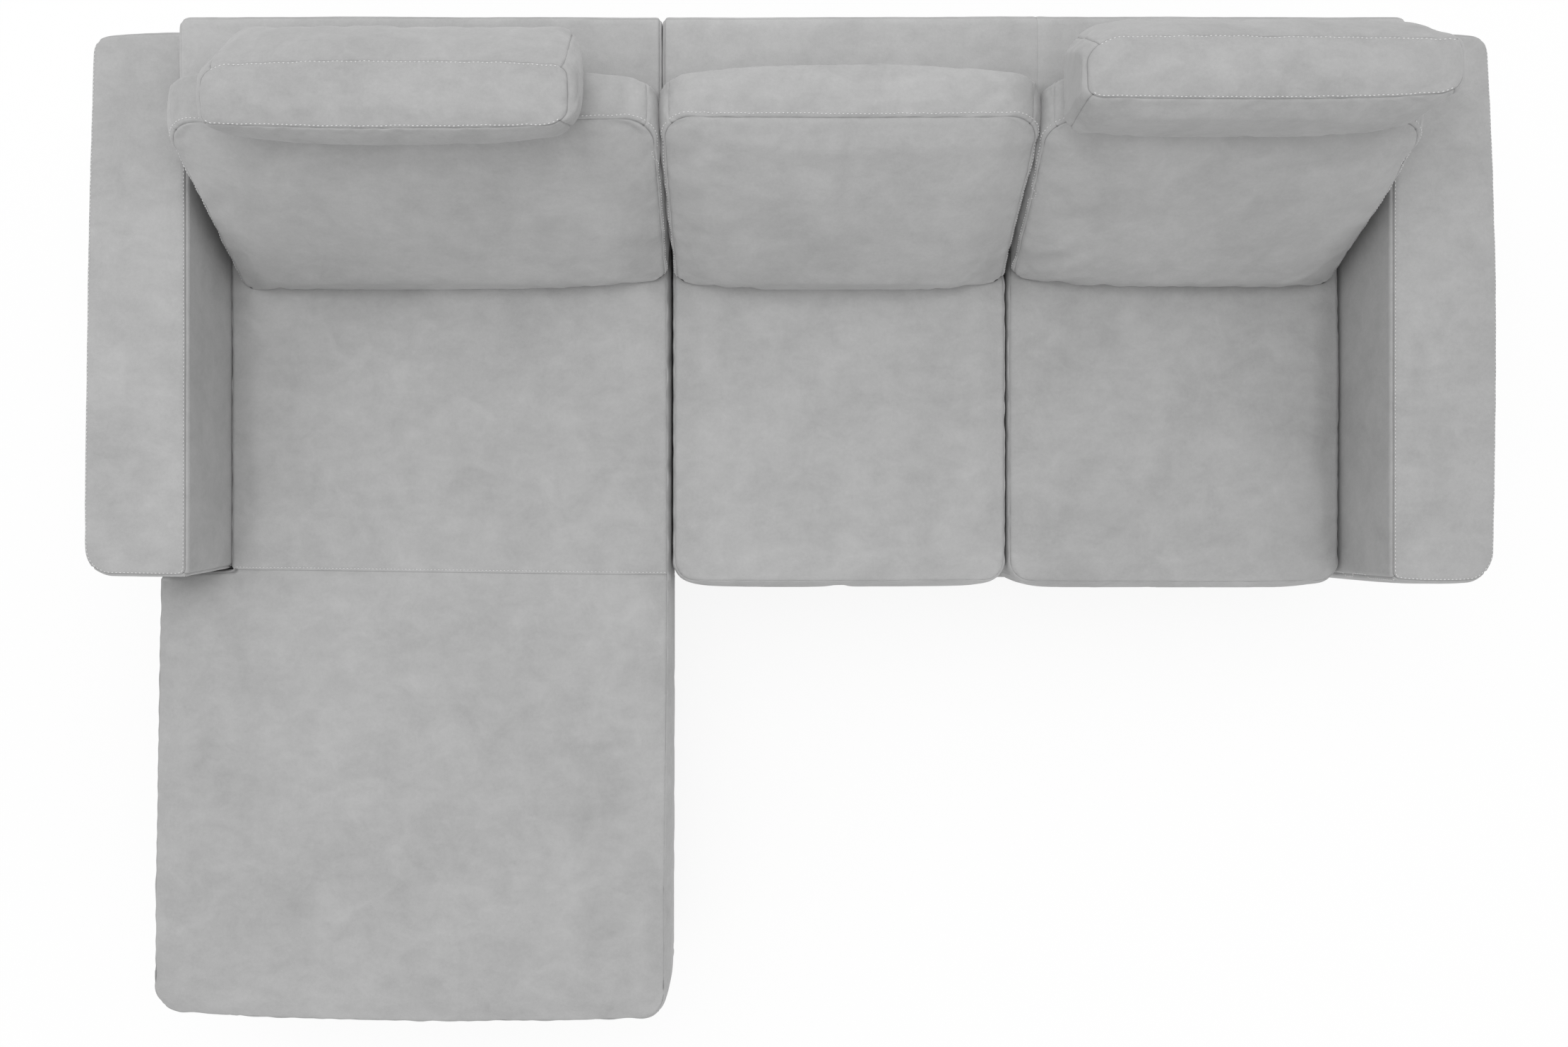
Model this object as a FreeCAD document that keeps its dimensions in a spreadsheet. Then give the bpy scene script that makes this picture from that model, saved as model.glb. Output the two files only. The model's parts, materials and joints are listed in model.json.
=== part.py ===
import FreeCAD, Part
import math
import os
import re
import Sketcher

# Lounge sofa with a chaise longue, in millimetres.
# X runs across the sofa from the chaise to the far arm, Y to the back, Z up.
# The origin is the centre of the plan at floor level.
# Two timber-framed modules stand side by side: the chaise module and the two-seat module.
# Loose seat cushions lie on sprung decks, loose back cushions stand on them, and two weighted
# head cushions sit on the outer back cushions.

SIZES = {
    # Whole sofa
    "overall_width": (2530, "outside of both arms"),
    "chaise_depth": (1842, "back to the front of the chaise"),
    "sofa_depth": (1003, "back to the front of the seat cushions"),
    "leg_height": (90, "floor to the timber bases"),
    "seat_height": (450, "floor to the top of the seat cushions"),
    "arm_height": (630, "floor to the top of the arms"),
    "back_height": (700, "floor to the top of the back frames"),
    "cushion_rise": (126, "top of the back cushions over the backs"),
    # Plan
    "seat_pitch": (647, "width of one seat of the two-seat module"),
    "module_gap": (4, "between the two modules"),
    "cushion_gap": (3, "between a seat cushion and its neighbour"),
    "arm_width": (198, "width of an arm"),
    "arm_setback": (23, "arm front behind the seat cushion fronts"),
    "chaise_inset": (35, "chaise side in from the outside of the arm"),
    "base_setback": (14, "base front behind the cushion fronts"),
    "back_top_depth": (155, "front to back of the back frame's top"),
    "back_lean": (0.2, "how far the back's face leans for each unit of height"),
    # Upholstery
    "fit": (0.5, "between pieces that rest against each other"),
    "pad": (26, "padding and cover on the arm and back frames"),
    "pad_underneath": (8, "padding and cover under the arms and backs"),
    "pad_edge": (26, "soft edge along the top of arms and backs"),
    "pad_corner": (36, "upright corners of arms and backs"),
    "pad_swell": (6, "how far padded frame faces swell at their middle"),
    "border": (24, "thickness of the padded border round the bases"),
    "border_edge": (8, "soft edges of the border"),
    # Seat cushions
    "seat_swell": (6, "swell of a seat cushion's sides"),
    "seat_crown_drop": (36, "height of the soft top edge"),
    "seat_crown_run": (66, "width of the soft top edge"),
    "seat_under_edge": (22, "soft bottom edge"),
    "seat_front_corner": (50, "front corners in plan"),
    "seat_rear_corner": (18, "rear corners in plan"),
    "seat_wrap": (24, "fibre wrap round the foam"),
    # Back cushions
    "back_cushion_foot": (262, "thickness at the seat"),
    "back_cushion_top": (122, "thickness at the top"),
    "back_cushion_gap": (3, "between back cushions side by side"),
    "back_cushion_arm_gap": (27, "between an outer back cushion and the arm"),
    "back_cushion_swell": (9, "swell of the sides; the front swells three times as far"),
    "back_cushion_edge": (32, "soft edges"),
    "back_cushion_corner": (40, "upright corners in plan"),
    "front_wrap": (38, "fibre wrap in front of the back foam"),
    "rear_wrap": (20, "fibre wrap behind the back foam"),
    # Head cushions
    "head_length": (590, "end to end"),
    "head_edge": (20, "soft edges"),
    "head_swell": (8, "swell of the faces"),
    "head_corner": (28, "upright corners in plan"),
    "head_wrap": (24, "fibre wrap round the foam"),
    "upright_height": (150, "head cushion that stands up"),
    "upright_foot": (201, "its depth at the bottom"),
    "upright_top": (120, "its depth at the top"),
    "upright_rake": (12, "how far its front leans back"),
    "upright_reach": (130, "its front, ahead of the back cushion's rear edge"),
    "slumped_height": (124, "head cushion that has slumped"),
    "slumped_foot": (218, "its depth at the bottom"),
    "slumped_top": (122, "its depth at the top"),
    "slumped_rake": (-8, "how far its front leans back"),
    "slumped_reach": (148, "its front, ahead of the back cushion's rear edge"),
    "flap_width": (380, "counterweight flap"),
    "flap_thickness": (5, "cloth of the flap, doubled"),
    "flap_inset": (103, "flap in from the back of the sofa"),
    "weight_radius": (5, "steel bar in the flap's hem"),
    "hem_wall": (2.5, "cloth round the bar"),
    # Timber
    "rail_thickness": (28, "base rails and frame boards"),
    "rail_height": (160, "base rails"),
    "panel": (6, "thickness of the hardboard panels"),
    "block_side": (64, "corner blocks, square"),
    "block_height": (45, "corner blocks"),
    # Springs and deck
    "spring_pitch": (155, "between zigzag springs"),
    "spring_wire": (4, "diameter of the zigzag spring wire"),
    "spring_bend": (15, "bend radius of a zigzag spring"),
    "spring_run": (8, "straight run from the middle line to a bend"),
    "spring_lead": (30, "shortest straight end of a spring"),
    "clip_length": (20, "spring clips, along the spring"),
    "clip_width": (22, "spring clips, across the spring"),
    "clip_height": (8, "spring clips"),
    "deck": (8, "felt deck over the springs"),
    "dust_cover": (1.5, "cloth under the bases"),
    # Feet and fasteners
    "foot_top_radius": (27, "turned feet at the top"),
    "foot_bottom_radius": (19, "turned feet at the bottom"),
    "glide_radius": (16, "plastic glides"),
    "glide_height": (5, "plastic glides"),
    "bolt_radius": (4, "M8 bolts"),
    "bolt_ease": (0.3, "round a bolt or a spring end in its hole"),
    "bolt_head_radius": (9, "bolt heads with their washers"),
    "bolt_head": (5, "thickness of a bolt head"),
    "foot_bolt_bite": (24, "foot bolt in the timber and in the foot"),
    "frame_bolt_bite": (20, "frame bolt in the far board"),
    "frame_bolt_inset": (120, "frame bolts in from the ends of the base rails"),
    "plate_length": (150, "module joining plates, across the gap"),
    "plate_width": (50, "module joining plates"),
    "plate_thickness": (3, "module joining plates"),
    "plate_inset": (160, "module joining plates in from the ends of the rails"),
}

# Planes and lines that several pieces share, as formulas of the sizes.
PLANES = {
    "outside": "overall_width / 2",
    "rear": "chaise_depth / 2",
    "chaise_front": "-chaise_depth / 2",
    "seat_front": "rear - sofa_depth",
    "arm_front": "seat_front + arm_setback",
    "arm_inside": "outside - arm_width",
    "split": "arm_inside - 2 * seat_pitch",
    "divide": "arm_inside - seat_pitch",
    "chaise_right": "split - module_gap / 2",
    "chaise_left": "-outside + chaise_inset",
    "pair_left": "split + module_gap / 2",
    "notch": "arm_front - cushion_gap",
    "base_top": "leg_height + rail_height",
    "spring_level": "base_top + clip_height / 2",
    "deck_bottom": "base_top + clip_height + fit",
    "deck_top": "deck_bottom + deck",
    "seat_underside": "deck_top + fit",
    "back_foot": "seat_height + fit",
    "cushion_top": "back_height + cushion_rise",
    "head_foot": "cushion_top + fit",
    "base_rear": "rear - back_top_depth - back_lean * (back_height - leg_height) - fit",
    "seat_rear": "rear - back_top_depth - back_lean * (back_height - seat_underside) - fit",
    "base_border_front": "seat_front + base_setback",
    "chaise_border_front": "chaise_front + base_setback",
    "chaise_border_left": "chaise_left + base_setback",
    "chaise_border_right": "chaise_right - base_setback",
    # Outer faces of the two timber bases
    "chaise_base_left": "chaise_border_left + border + fit",
    "chaise_base_right": "chaise_border_right - border - fit",
    "chaise_base_front": "chaise_border_front + border + fit",
    "chaise_arm_side": "-arm_inside + fit",
    "chaise_cross_rear": "notch - fit",
    "pair_base_left": "pair_left + fit",
    "pair_base_right": "arm_inside - fit",
    "pair_base_front": "base_border_front + border + fit",
    "bolt_level": "leg_height + rail_height / 2",
    "foot_top": "leg_height - dust_cover",
    "hem_radius": "weight_radius + hem_wall",
    "flap_front": "rear - flap_inset",
}

doc = FreeCAD.newDocument("lounge_sofa")
sheet = doc.addObject("Spreadsheet::Sheet", "Sizes")
for row, (alias, (value, meaning)) in enumerate(SIZES.items(), start=1):
    sheet.set(f"A{row}", meaning)
    sheet.set(f"B{row}", str(value))
    sheet.setAlias(f"B{row}", alias)
doc.recompute()

PIECES = {}


def formula(text):
    """The text with each shared plane spelled out and each size read from the sheet."""

    def spelled(match):
        word = match.group(0)
        if word in PLANES:
            return f"({formula(PLANES[word])})"
        return f"Sizes.{word}" if word in SIZES else word

    return re.sub(r"[a-z_]+", spelled, str(text))


def number(text):
    return float(sheet.evalExpression(formula(text)))


def piece(name, shape_object):
    """Names an object as one piece of the sofa."""
    shape_object.Label = name
    PIECES[name] = shape_object
    return shape_object


def back_face(height):
    """Where the leaning front face of the backs lies at a height."""
    return f"rear - back_top_depth - back_lean * (back_height - ({height}))"


# Shapes bound to the sheet


def block(x, y, z):
    """A box between two planes on each axis."""
    box = doc.addObject("Part::Box", "Block")
    for side, axis, (low, high) in (("Length", "x", x), ("Width", "y", y), ("Height", "z", z)):
        box.setExpression(side, formula(f"({high}) - ({low})"))
        box.setExpression(f"Placement.Base.{axis}", formula(low))
    return box


def rod(radius, length, x, y, z, direction="z"):
    """A round bar that starts at x, y, z and runs along an axis."""
    bar = doc.addObject("Part::Cylinder", "Rod")
    turn = {
        "x": FreeCAD.Rotation(FreeCAD.Vector(0, 1, 0), 90),
        "-x": FreeCAD.Rotation(FreeCAD.Vector(0, 1, 0), -90),
        "y": FreeCAD.Rotation(FreeCAD.Vector(1, 0, 0), -90),
        "z": FreeCAD.Rotation(),
    }
    bar.Placement = FreeCAD.Placement(FreeCAD.Vector(), turn[direction])
    bar.setExpression("Radius", formula(radius))
    bar.setExpression("Height", formula(length))
    for axis, start in (("x", x), ("y", y), ("z", z)):
        bar.setExpression(f"Placement.Base.{axis}", formula(start))
    return bar


def cut(base, *tools):
    """The base with every tool taken out of it."""
    for tool in tools:
        result = doc.addObject("Part::Cut", "Cut")
        result.Base = base
        result.Tool = tool
        base = result
    return base


def joined(*parts):
    """One solid made of parts that touch."""
    result = doc.addObject("Part::MultiFuse", "Joined")
    result.Shapes = list(parts)
    result.Refine = True
    return result


def group(members):
    """Separate solids kept together, such as a set of feet."""
    result = doc.addObject("Part::Compound", "Group")
    result.Links = list(members)
    return result


def prism(corners, x):
    """A solid with a straight-sided outline of (y, z) corners, between two X planes."""
    sketch = doc.addObject("Sketcher::SketchObject", "Profile")
    sketch.Placement.Rotation = FreeCAD.Rotation(FreeCAD.Vector(1, 1, 1), 120)
    sketch.setExpression("Placement.Base.x", formula(x[0]))
    points = [FreeCAD.Vector(number(y), number(z), 0) for y, z in corners]
    for index, point in enumerate(points):
        sketch.addGeometry(Part.LineSegment(point, points[(index + 1) % len(points)]))
    for index, (y, z) in enumerate(corners):
        following = (index + 1) % len(points)
        sketch.addConstraint(Sketcher.Constraint("Coincident", index, 2, following, 1))
        for kind, text in (("DistanceX", y), ("DistanceY", z)):
            place = sketch.addConstraint(Sketcher.Constraint(kind, -1, 1, index, 1, number(text)))
            sketch.setExpression(f"Constraints[{place}]", formula(text))
    solid = doc.addObject("Part::Extrusion", "Prism")
    solid.Base = sketch
    solid.DirMode = "Normal"
    solid.Solid = True
    solid.setExpression("LengthFwd", formula(f"({x[1]}) - ({x[0]})"))
    return solid


def outline(corners, radii, z):
    """A sketch at height z of a right-angled outline, anticlockwise, with a rounded corner at each point."""
    sketch = doc.addObject("Sketcher::SketchObject", "Outline")
    sketch.setExpression("Placement.Base.z", formula(z))
    count = len(corners)
    points = [FreeCAD.Vector(number(x), number(y), 0) for x, y in corners]
    lines_from, lines_to, arcs = [], [], []
    for index, point in enumerate(points):
        before = (point - points[index - 1]).normalize()
        after = (points[(index + 1) % count] - point).normalize()
        radius = number(radii[index])
        centre = point - before * radius + after * radius
        left_turn = before.cross(after).z > 0
        first = point - before * radius if left_turn else point + after * radius
        angle = math.atan2(first.y - centre.y, first.x - centre.x)
        circle = Part.Circle(centre, FreeCAD.Vector(0, 0, 1), radius)
        arcs.append((Part.ArcOfCircle(circle, angle, angle + math.pi / 2), left_turn))
        lines_to.append(point - before * radius)
        lines_from.append(point + after * radius)
    for index in range(count):
        sketch.addGeometry(Part.LineSegment(lines_from[index], lines_to[(index + 1) % count]))
    for arc, _ in arcs:
        sketch.addGeometry(arc)
    for line in range(count):
        previous = (line - 1) % count
        arc = count + line
        start, end = (1, 2) if arcs[line][1] else (2, 1)
        upright = abs((points[(line + 1) % count] - points[line]).x) < 1e-6
        sketch.addConstraint(Sketcher.Constraint("Vertical" if upright else "Horizontal", line))
        sketch.addConstraint(Sketcher.Constraint("Tangent", previous, 2, arc, start))
        sketch.addConstraint(Sketcher.Constraint("Tangent", arc, end, line, 1))
        place = sketch.addConstraint(Sketcher.Constraint("Radius", arc, number(radii[line])))
        sketch.setExpression(f"Constraints[{place}]", formula(radii[line]))
        kind, text = ("DistanceX", corners[line][0]) if upright else ("DistanceY", corners[line][1])
        place = sketch.addConstraint(Sketcher.Constraint(kind, -1, 1, line, 1, number(text)))
        sketch.setExpression(f"Constraints[{place}]", formula(text))
    return sketch


def rectangle(x, y, shares=(1, 1, 1, 1)):
    """A rectangle for padded(): x and y are planes, or lines in HEIGHT where a face leans.

    shares says how much of the swell the left, right, front and rear faces take.
    """

    def corners(z, drawn_in, inset):
        left, right, front, rear = (f"({inset}) + {share} * ({drawn_in})" for share in shares)
        x_low, x_high, y_low, y_high = (f"({side})".replace("HEIGHT", f"({z})") for side in (*x, *y))
        x_low, x_high = f"{x_low} + {left}", f"{x_high} - ({right})"
        y_low, y_high = f"{y_low} + {front}", f"{y_high} - ({rear})"
        return [(x_low, y_low), (x_high, y_low), (x_high, y_high), (x_low, y_high)]

    return corners


def padded(corners, radii, z, swell, crown, foot):
    """A stuffed form whose sides swell and whose top and bottom edges are soft.

    crown and foot are each the height and the width of the soft edge at the top and the bottom.
    """
    bottom, top = z
    side_foot, side_top = f"(({bottom}) + ({foot[0]}))", f"(({top}) - ({crown[0]}))"
    levels = []
    for degrees in (90, 45, 0):
        rise, run = math.sin(math.radians(degrees)), 1 - math.cos(math.radians(degrees))
        levels.append((f"{side_foot} - ({foot[0]}) * {rise:.4f}", swell, f"({foot[1]}) * {run:.4f}"))
    for share in (0.2, 0.5, 0.8):
        drawn_in = f"({swell}) * {(2 * share - 1) ** 2:.2f}"
        levels.append((f"{side_foot} + {share} * ({side_top} - {side_foot})", drawn_in, "0"))
    for degrees in (0, 25, 50, 70, 90):
        rise, run = math.sin(math.radians(degrees)), 1 - math.cos(math.radians(degrees))
        levels.append((f"{side_top} + ({crown[0]}) * {rise:.4f}", swell, f"({crown[1]}) * {run:.4f}"))
    sections = []
    for height, drawn_in, inset in levels:
        points = corners(height, drawn_in, inset)
        limited = []
        for index, radius in enumerate(radii):
            before, after = points[index - 1], points[(index + 1) % len(points)]
            here = points[index]
            sides = [f"abs(({here[0]}) - ({other[0]})) + abs(({here[1]}) - ({other[1]}))" for other in (before, after)]
            limited.append(f"min({radius}; 0.42 * ({sides[0]}); 0.42 * ({sides[1]}))")
        sections.append(outline(points, limited, height))
    loft = doc.addObject("Part::Loft", "Padded")
    loft.Sections = sections
    loft.Solid = True
    loft.Ruled = True
    return loft


# Base rails

BASE_HEIGHT = ("leg_height", "base_top")


def rail(name, x, y, *holes):
    return piece(name, cut(block(x, y, BASE_HEIGHT), *holes))


def beside(plane, side):
    """The two faces of a board that lies against a plane, on its + or - side."""
    return (plane, f"{plane} + rail_thickness") if side > 0 else (f"{plane} - rail_thickness", plane)


def bolt(x, y, z, reach, direction):
    """A bolt with its head outside its starting point, and the hole that it needs."""
    shank = rod("bolt_radius", reach, x, y, z, direction)
    hole = rod("bolt_radius + bolt_ease", reach, x, y, z, direction)
    step = {"x": (f"({x}) - bolt_head", y, z), "-x": (f"({x}) + bolt_head", y, z)}
    step["y"] = (x, f"({y}) - bolt_head", z)
    step["z"] = (x, y, f"({z}) - bolt_head")
    head = rod("bolt_head_radius", "bolt_head", *step[direction], direction)
    return joined(shank, head), hole


# Bolts through the arm rails into the arm frames, and through the rear rails into the back frames.
through_arm = "rail_thickness + 3 * fit + pad + panel + frame_bolt_bite"
arm_bolt_rows = ("chaise_cross_rear + frame_bolt_inset", "base_rear - frame_bolt_inset")
left_arm_bolts = [
    bolt("chaise_arm_side + rail_thickness", y, "bolt_level", through_arm, "-x") for y in arm_bolt_rows
]
right_arm_bolts = [
    bolt("pair_base_right - rail_thickness", y, "bolt_level", through_arm, "x") for y in arm_bolt_rows
]
bolt_rise = "back_lean * (bolt_level - leg_height)"
through_back = f"rail_thickness + 3 * fit + pad + panel + frame_bolt_bite + {bolt_rise}"
left_back_bolts = [
    bolt(x, "base_rear - rail_thickness", "bolt_level", through_back, "y")
    for x in ("chaise_arm_side + frame_bolt_inset", "chaise_base_right - frame_bolt_inset")
]
right_back_bolts = [
    bolt(x, "base_rear - rail_thickness", "bolt_level", through_back, "y")
    for x in ("pair_base_left + frame_bolt_inset", "pair_base_right - frame_bolt_inset")
]
frame_bolts = left_arm_bolts + right_arm_bolts + left_back_bolts + right_back_bolts
piece("frame_bolts", group([shape for shape, _ in frame_bolts]))


def holes(bolts):
    return [hole for _, hole in bolts]


# Bolts up through the joining plates into the rails on both sides of the split.
chaise_split_rail = beside("chaise_base_right", -1)
pair_split_rail = beside("pair_base_left", 1)
plate_rows = ("pair_base_front + plate_inset", "base_rear - plate_inset")
plate_top = "foot_top"
plate_bottom = "foot_top - plate_thickness"
joining_reach = "plate_thickness + dust_cover + foot_bolt_bite"
joining = {
    side: [bolt(f"(({faces[0]}) + ({faces[1]})) / 2", y, plate_bottom, joining_reach, "z") for y in plate_rows]
    for side, faces in (("chaise", chaise_split_rail), ("pair", pair_split_rail))
}
piece("joining_bolts", group([shape for pairs in joining.values() for shape, _ in pairs]))
plates = []
for row, y in enumerate(plate_rows):
    plate = block(
        ("split - plate_length / 2", "split + plate_length / 2"),
        (f"{y} - plate_width / 2", f"{y} + plate_width / 2"),
        (plate_bottom, plate_top),
    )
    plates.append(cut(plate, joining["chaise"][row][1], joining["pair"][row][1]))
piece("joining_plates", group(plates))

front_rail = beside("chaise_base_front", 1)
rear_rail = beside("base_rear", -1)
cross_rail = beside("chaise_cross_rear", -1)
outer_rail = beside("chaise_base_left", 1)
chaise_arm_rail = beside("chaise_arm_side", 1)
rail("chaise_front_rail", ("chaise_base_left", "chaise_base_right"), front_rail)
rail("chaise_outer_rail", outer_rail, (front_rail[1], cross_rail[0]))
rail("chaise_inner_rail", chaise_split_rail, (front_rail[1], rear_rail[0]), *holes(joining["chaise"]))
rail("chaise_cross_rail", ("chaise_base_left", chaise_split_rail[0]), cross_rail)
rail("chaise_arm_rail", chaise_arm_rail, (cross_rail[1], rear_rail[0]), *holes(left_arm_bolts))
rail("chaise_rear_rail", ("chaise_arm_side", "chaise_base_right"), rear_rail, *holes(left_back_bolts))

pair_front_rail = beside("pair_base_front", 1)
pair_arm_rail = beside("pair_base_right", -1)
middle_rail = ("divide - rail_thickness / 2", "divide + rail_thickness / 2")
pair_depth = (pair_front_rail[1], rear_rail[0])
rail("seat_front_rail", ("pair_base_left", "pair_base_right"), pair_front_rail)
rail("seat_inner_rail", pair_split_rail, pair_depth, *holes(joining["pair"]))
rail("seat_middle_rail", middle_rail, pair_depth)
rail("seat_arm_rail", pair_arm_rail, pair_depth, *holes(right_arm_bolts))
rail("seat_rear_rail", ("pair_base_left", "pair_base_right"), rear_rail, *holes(right_back_bolts))

# Corner blocks, and under each a foot with its hanger bolt and glide.


def corner(x_face, x_side, y_face, y_side):
    """The low corner of a block that fills the angle between two rail faces."""
    low = [face if side > 0 else f"{face} - block_side" for face, side in ((x_face, x_side), (y_face, y_side))]
    return tuple(low)


BLOCK_CORNERS = (
    corner(outer_rail[1], 1, front_rail[1], 1),
    corner(chaise_split_rail[0], -1, front_rail[1], 1),
    corner(outer_rail[1], 1, cross_rail[0], -1),
    corner(chaise_split_rail[0], -1, cross_rail[0], -1),
    corner(chaise_arm_rail[1], 1, rear_rail[0], -1),
    corner(chaise_split_rail[0], -1, rear_rail[0], -1),
    corner(pair_split_rail[1], 1, pair_front_rail[1], 1),
    corner(pair_arm_rail[0], -1, pair_front_rail[1], 1),
    corner(pair_split_rail[1], 1, rear_rail[0], -1),
    corner(pair_arm_rail[0], -1, rear_rail[0], -1),
)
foot_holes = []
blocks, feet, glides, foot_bolts = [], [], [], []
for x_low, y_low in BLOCK_CORNERS:
    x, y = f"{x_low} + block_side / 2", f"{y_low} + block_side / 2"
    bolt_start, bolt_length = "foot_top - foot_bolt_bite", "dust_cover + 2 * foot_bolt_bite"
    hole = rod("bolt_radius + bolt_ease", f"{bolt_length} + 2 * bolt_ease", x, y, f"{bolt_start} - bolt_ease")
    foot_holes.append(hole)
    foot_bolts.append(rod("bolt_radius", bolt_length, x, y, bolt_start))
    body = block((x_low, f"{x_low} + block_side"), (y_low, f"{y_low} + block_side"),
                 ("leg_height", "leg_height + block_height"))
    blocks.append(cut(body, hole))
    foot = doc.addObject("Part::Cone", "Foot")
    foot.setExpression("Radius1", formula("foot_bottom_radius"))
    foot.setExpression("Radius2", formula("foot_top_radius"))
    foot.setExpression("Height", formula("foot_top - glide_height"))
    for axis, place in (("x", x), ("y", y), ("z", "glide_height")):
        foot.setExpression(f"Placement.Base.{axis}", formula(place))
    feet.append(cut(foot, hole))
    glides.append(rod("glide_radius", "glide_height", x, y, "0"))
piece("corner_blocks", group(blocks))
piece("feet", group(feet))
piece("foot_bolts", group(foot_bolts))
piece("foot_glides", group(glides))

# Dust covers and felt decks

chaise_rear_part = ("chaise_arm_side", "chaise_base_right"), ("chaise_cross_rear", "base_rear")
chaise_front_part = ("chaise_base_left", "chaise_base_right"), ("chaise_base_front", "chaise_cross_rear")
pair_part = ("pair_base_left", "pair_base_right"), ("pair_base_front", "base_rear")
deck_height = ("deck_bottom", "deck_top")
dust_height = ("foot_top", "leg_height")
piece("chaise_deck", joined(block(*chaise_rear_part, deck_height), block(*chaise_front_part, deck_height)))
piece("seat_deck", block(*pair_part, deck_height))
chaise_dust = joined(block(*chaise_rear_part, dust_height), block(*chaise_front_part, dust_height))
piece("chaise_dust_cover", cut(chaise_dust, *foot_holes[:6], *holes(joining["chaise"])))
piece("seat_dust_cover", cut(block(*pair_part, dust_height), *foot_holes[6:], *holes(joining["pair"])))

# Zigzag springs from rail to rail, each end in a clip on top of a rail


def zigzag(length):
    """A zigzag spring along +X that starts at the origin, in the XY plane."""
    bend, run = number("spring_bend"), number("spring_run")
    turns = int((length - 2 * number("spring_lead") - 2 * bend) / (2 * bend))
    turns -= 1 - turns % 2
    lead = (length - 2 * bend - 2 * bend * turns) / 2
    point = FreeCAD.Vector(0, 0, 0)
    edges = []

    def straight(dx, dy):
        nonlocal point
        end = point + FreeCAD.Vector(dx, dy, 0)
        edges.append(Part.LineSegment(point, end).toShape())
        point = end

    def quarter(dx, dy, along_first):
        """A quarter turn to point + (dx, dy) that leaves along X or along Y."""
        nonlocal point
        end = point + FreeCAD.Vector(dx, dy, 0)
        centre = point + (FreeCAD.Vector(0, dy, 0) if along_first else FreeCAD.Vector(dx, 0, 0))
        towards = (point + end) * 0.5 - centre
        middle = centre + towards.normalize() * bend
        edges.append(Part.Arc(point, middle, end).toShape())
        point = end

    straight(lead, 0)
    quarter(bend, bend, True)
    straight(0, run)
    for turn in range(turns):
        up = 1 if turn % 2 == 0 else -1
        quarter(bend, up * bend, False)
        quarter(bend, -up * bend, True)
        straight(0, -up * 2 * (bend + run) if turn < turns - 1 else -run)
    quarter(bend, -bend, False)
    straight(lead, 0)
    path = Part.Wire(edges)
    ring = Part.Circle(FreeCAD.Vector(), FreeCAD.Vector(1, 0, 0), number("spring_wire") / 2)
    return path.makePipeShell([Part.Wire(ring.toShape())], True, False)


def spaced(low, high):
    """Places across a bay, spring_pitch apart and centred in it."""
    width = number(f"({high}) - ({low})")
    count = int(width / number("spring_pitch"))
    pitch = number("spring_pitch")
    first = number(low) + (width - (count - 1) * pitch) / 2
    return [first + index * pitch for index in range(count)]


def spring_set(start, end, across, turned):
    """Springs between the middles of two rails, and the clips at both ends."""
    half_rail, half_clip = number("rail_thickness") / 2, number("clip_length") / 2
    low, high = number(start) + half_rail - half_clip, number(end) - half_rail + half_clip
    spring = zigzag(high - low)
    hole = number("spring_wire") / 2 + number("bolt_ease")
    clip_size = [number(name) for name in ("clip_length", "clip_width", "clip_height")]
    clip = Part.makeBox(*clip_size, FreeCAD.Vector(0, -clip_size[1] / 2, -clip_size[2] / 2))
    clip = clip.cut(Part.makeCylinder(hole, clip_size[0], FreeCAD.Vector(), FreeCAD.Vector(1, 0, 0)))
    turn = FreeCAD.Rotation(FreeCAD.Vector(0, 0, 1), 90 if turned else 0)
    springs, clips = [], []
    for place in across:
        for along, shape, kept in ((low, spring, springs), (low, clip, clips), (high - clip_size[0], clip, clips)):
            copy = shape.copy()
            spot = (place, along) if turned else (along, place)
            copy.Placement = FreeCAD.Placement(FreeCAD.Vector(*spot, number("spring_level")), turn)
            kept.append(copy)
    return springs, clips


def coded(name, shapes):
    """A piece whose shape comes from code, because no feature makes it."""
    feature = doc.addObject("Part::Feature", "Coded")
    feature.Shape = Part.makeCompound(shapes)
    feature.Placement = FreeCAD.Placement()
    return piece(name, feature)


front_springs, front_clips = spring_set(
    outer_rail[0], "chaise_base_right", spaced(front_rail[1], cross_rail[0]), turned=False
)
rear_springs, rear_clips = spring_set(
    "chaise_arm_side", "chaise_base_right", spaced(cross_rail[1], rear_rail[0]), turned=False
)
coded("chaise_springs", front_springs + rear_springs)
seat_places = spaced(pair_split_rail[1], middle_rail[0]) + spaced(middle_rail[1], pair_arm_rail[0])
seat_springs, seat_clips = spring_set("pair_base_front", "base_rear", seat_places, turned=True)
coded("seat_springs", seat_springs)
coded("spring_clips", front_clips + rear_clips + seat_clips)

# Padded borders round the bases

border_z = ("leg_height", "deck_top")


def base_border(name, x, y):
    form = padded(rectangle(x, y), ["border_edge"] * 4, border_z, "0", ("border_edge",) * 2, ("border_edge",) * 2)
    return piece(name, form)


side_border_front = "chaise_base_front"
base_border("chaise_front_border", ("chaise_border_left", "chaise_border_right"),
            ("chaise_border_front", "chaise_border_front + border"))
base_border("chaise_outer_border", ("chaise_border_left", "chaise_border_left + border"),
            (side_border_front, "notch"))
base_border("chaise_inner_border", ("chaise_border_right - border", "chaise_border_right"),
            (side_border_front, "pair_base_front"))
base_border("seat_front_border", ("pair_base_left", "pair_base_right"),
            ("base_border_front", "base_border_front + border"))

# Arms: a padded cover over a boarded frame with a hardboard panel on each side

arm_y = ("arm_front", "rear")
arm_z = ("leg_height", "arm_height")
cavity_z = ("leg_height + pad_underneath", "arm_height - pad")
ARMS = (
    ("left", ("-outside", "-arm_inside"), (1, 0, 1, 1), left_arm_bolts),
    ("right", ("arm_inside", "outside"), (0, 1, 1, 1), right_arm_bolts),
)


def within(span, inset):
    return f"{span[0]} + {inset}", f"{span[1]} - ({inset})"


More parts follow.
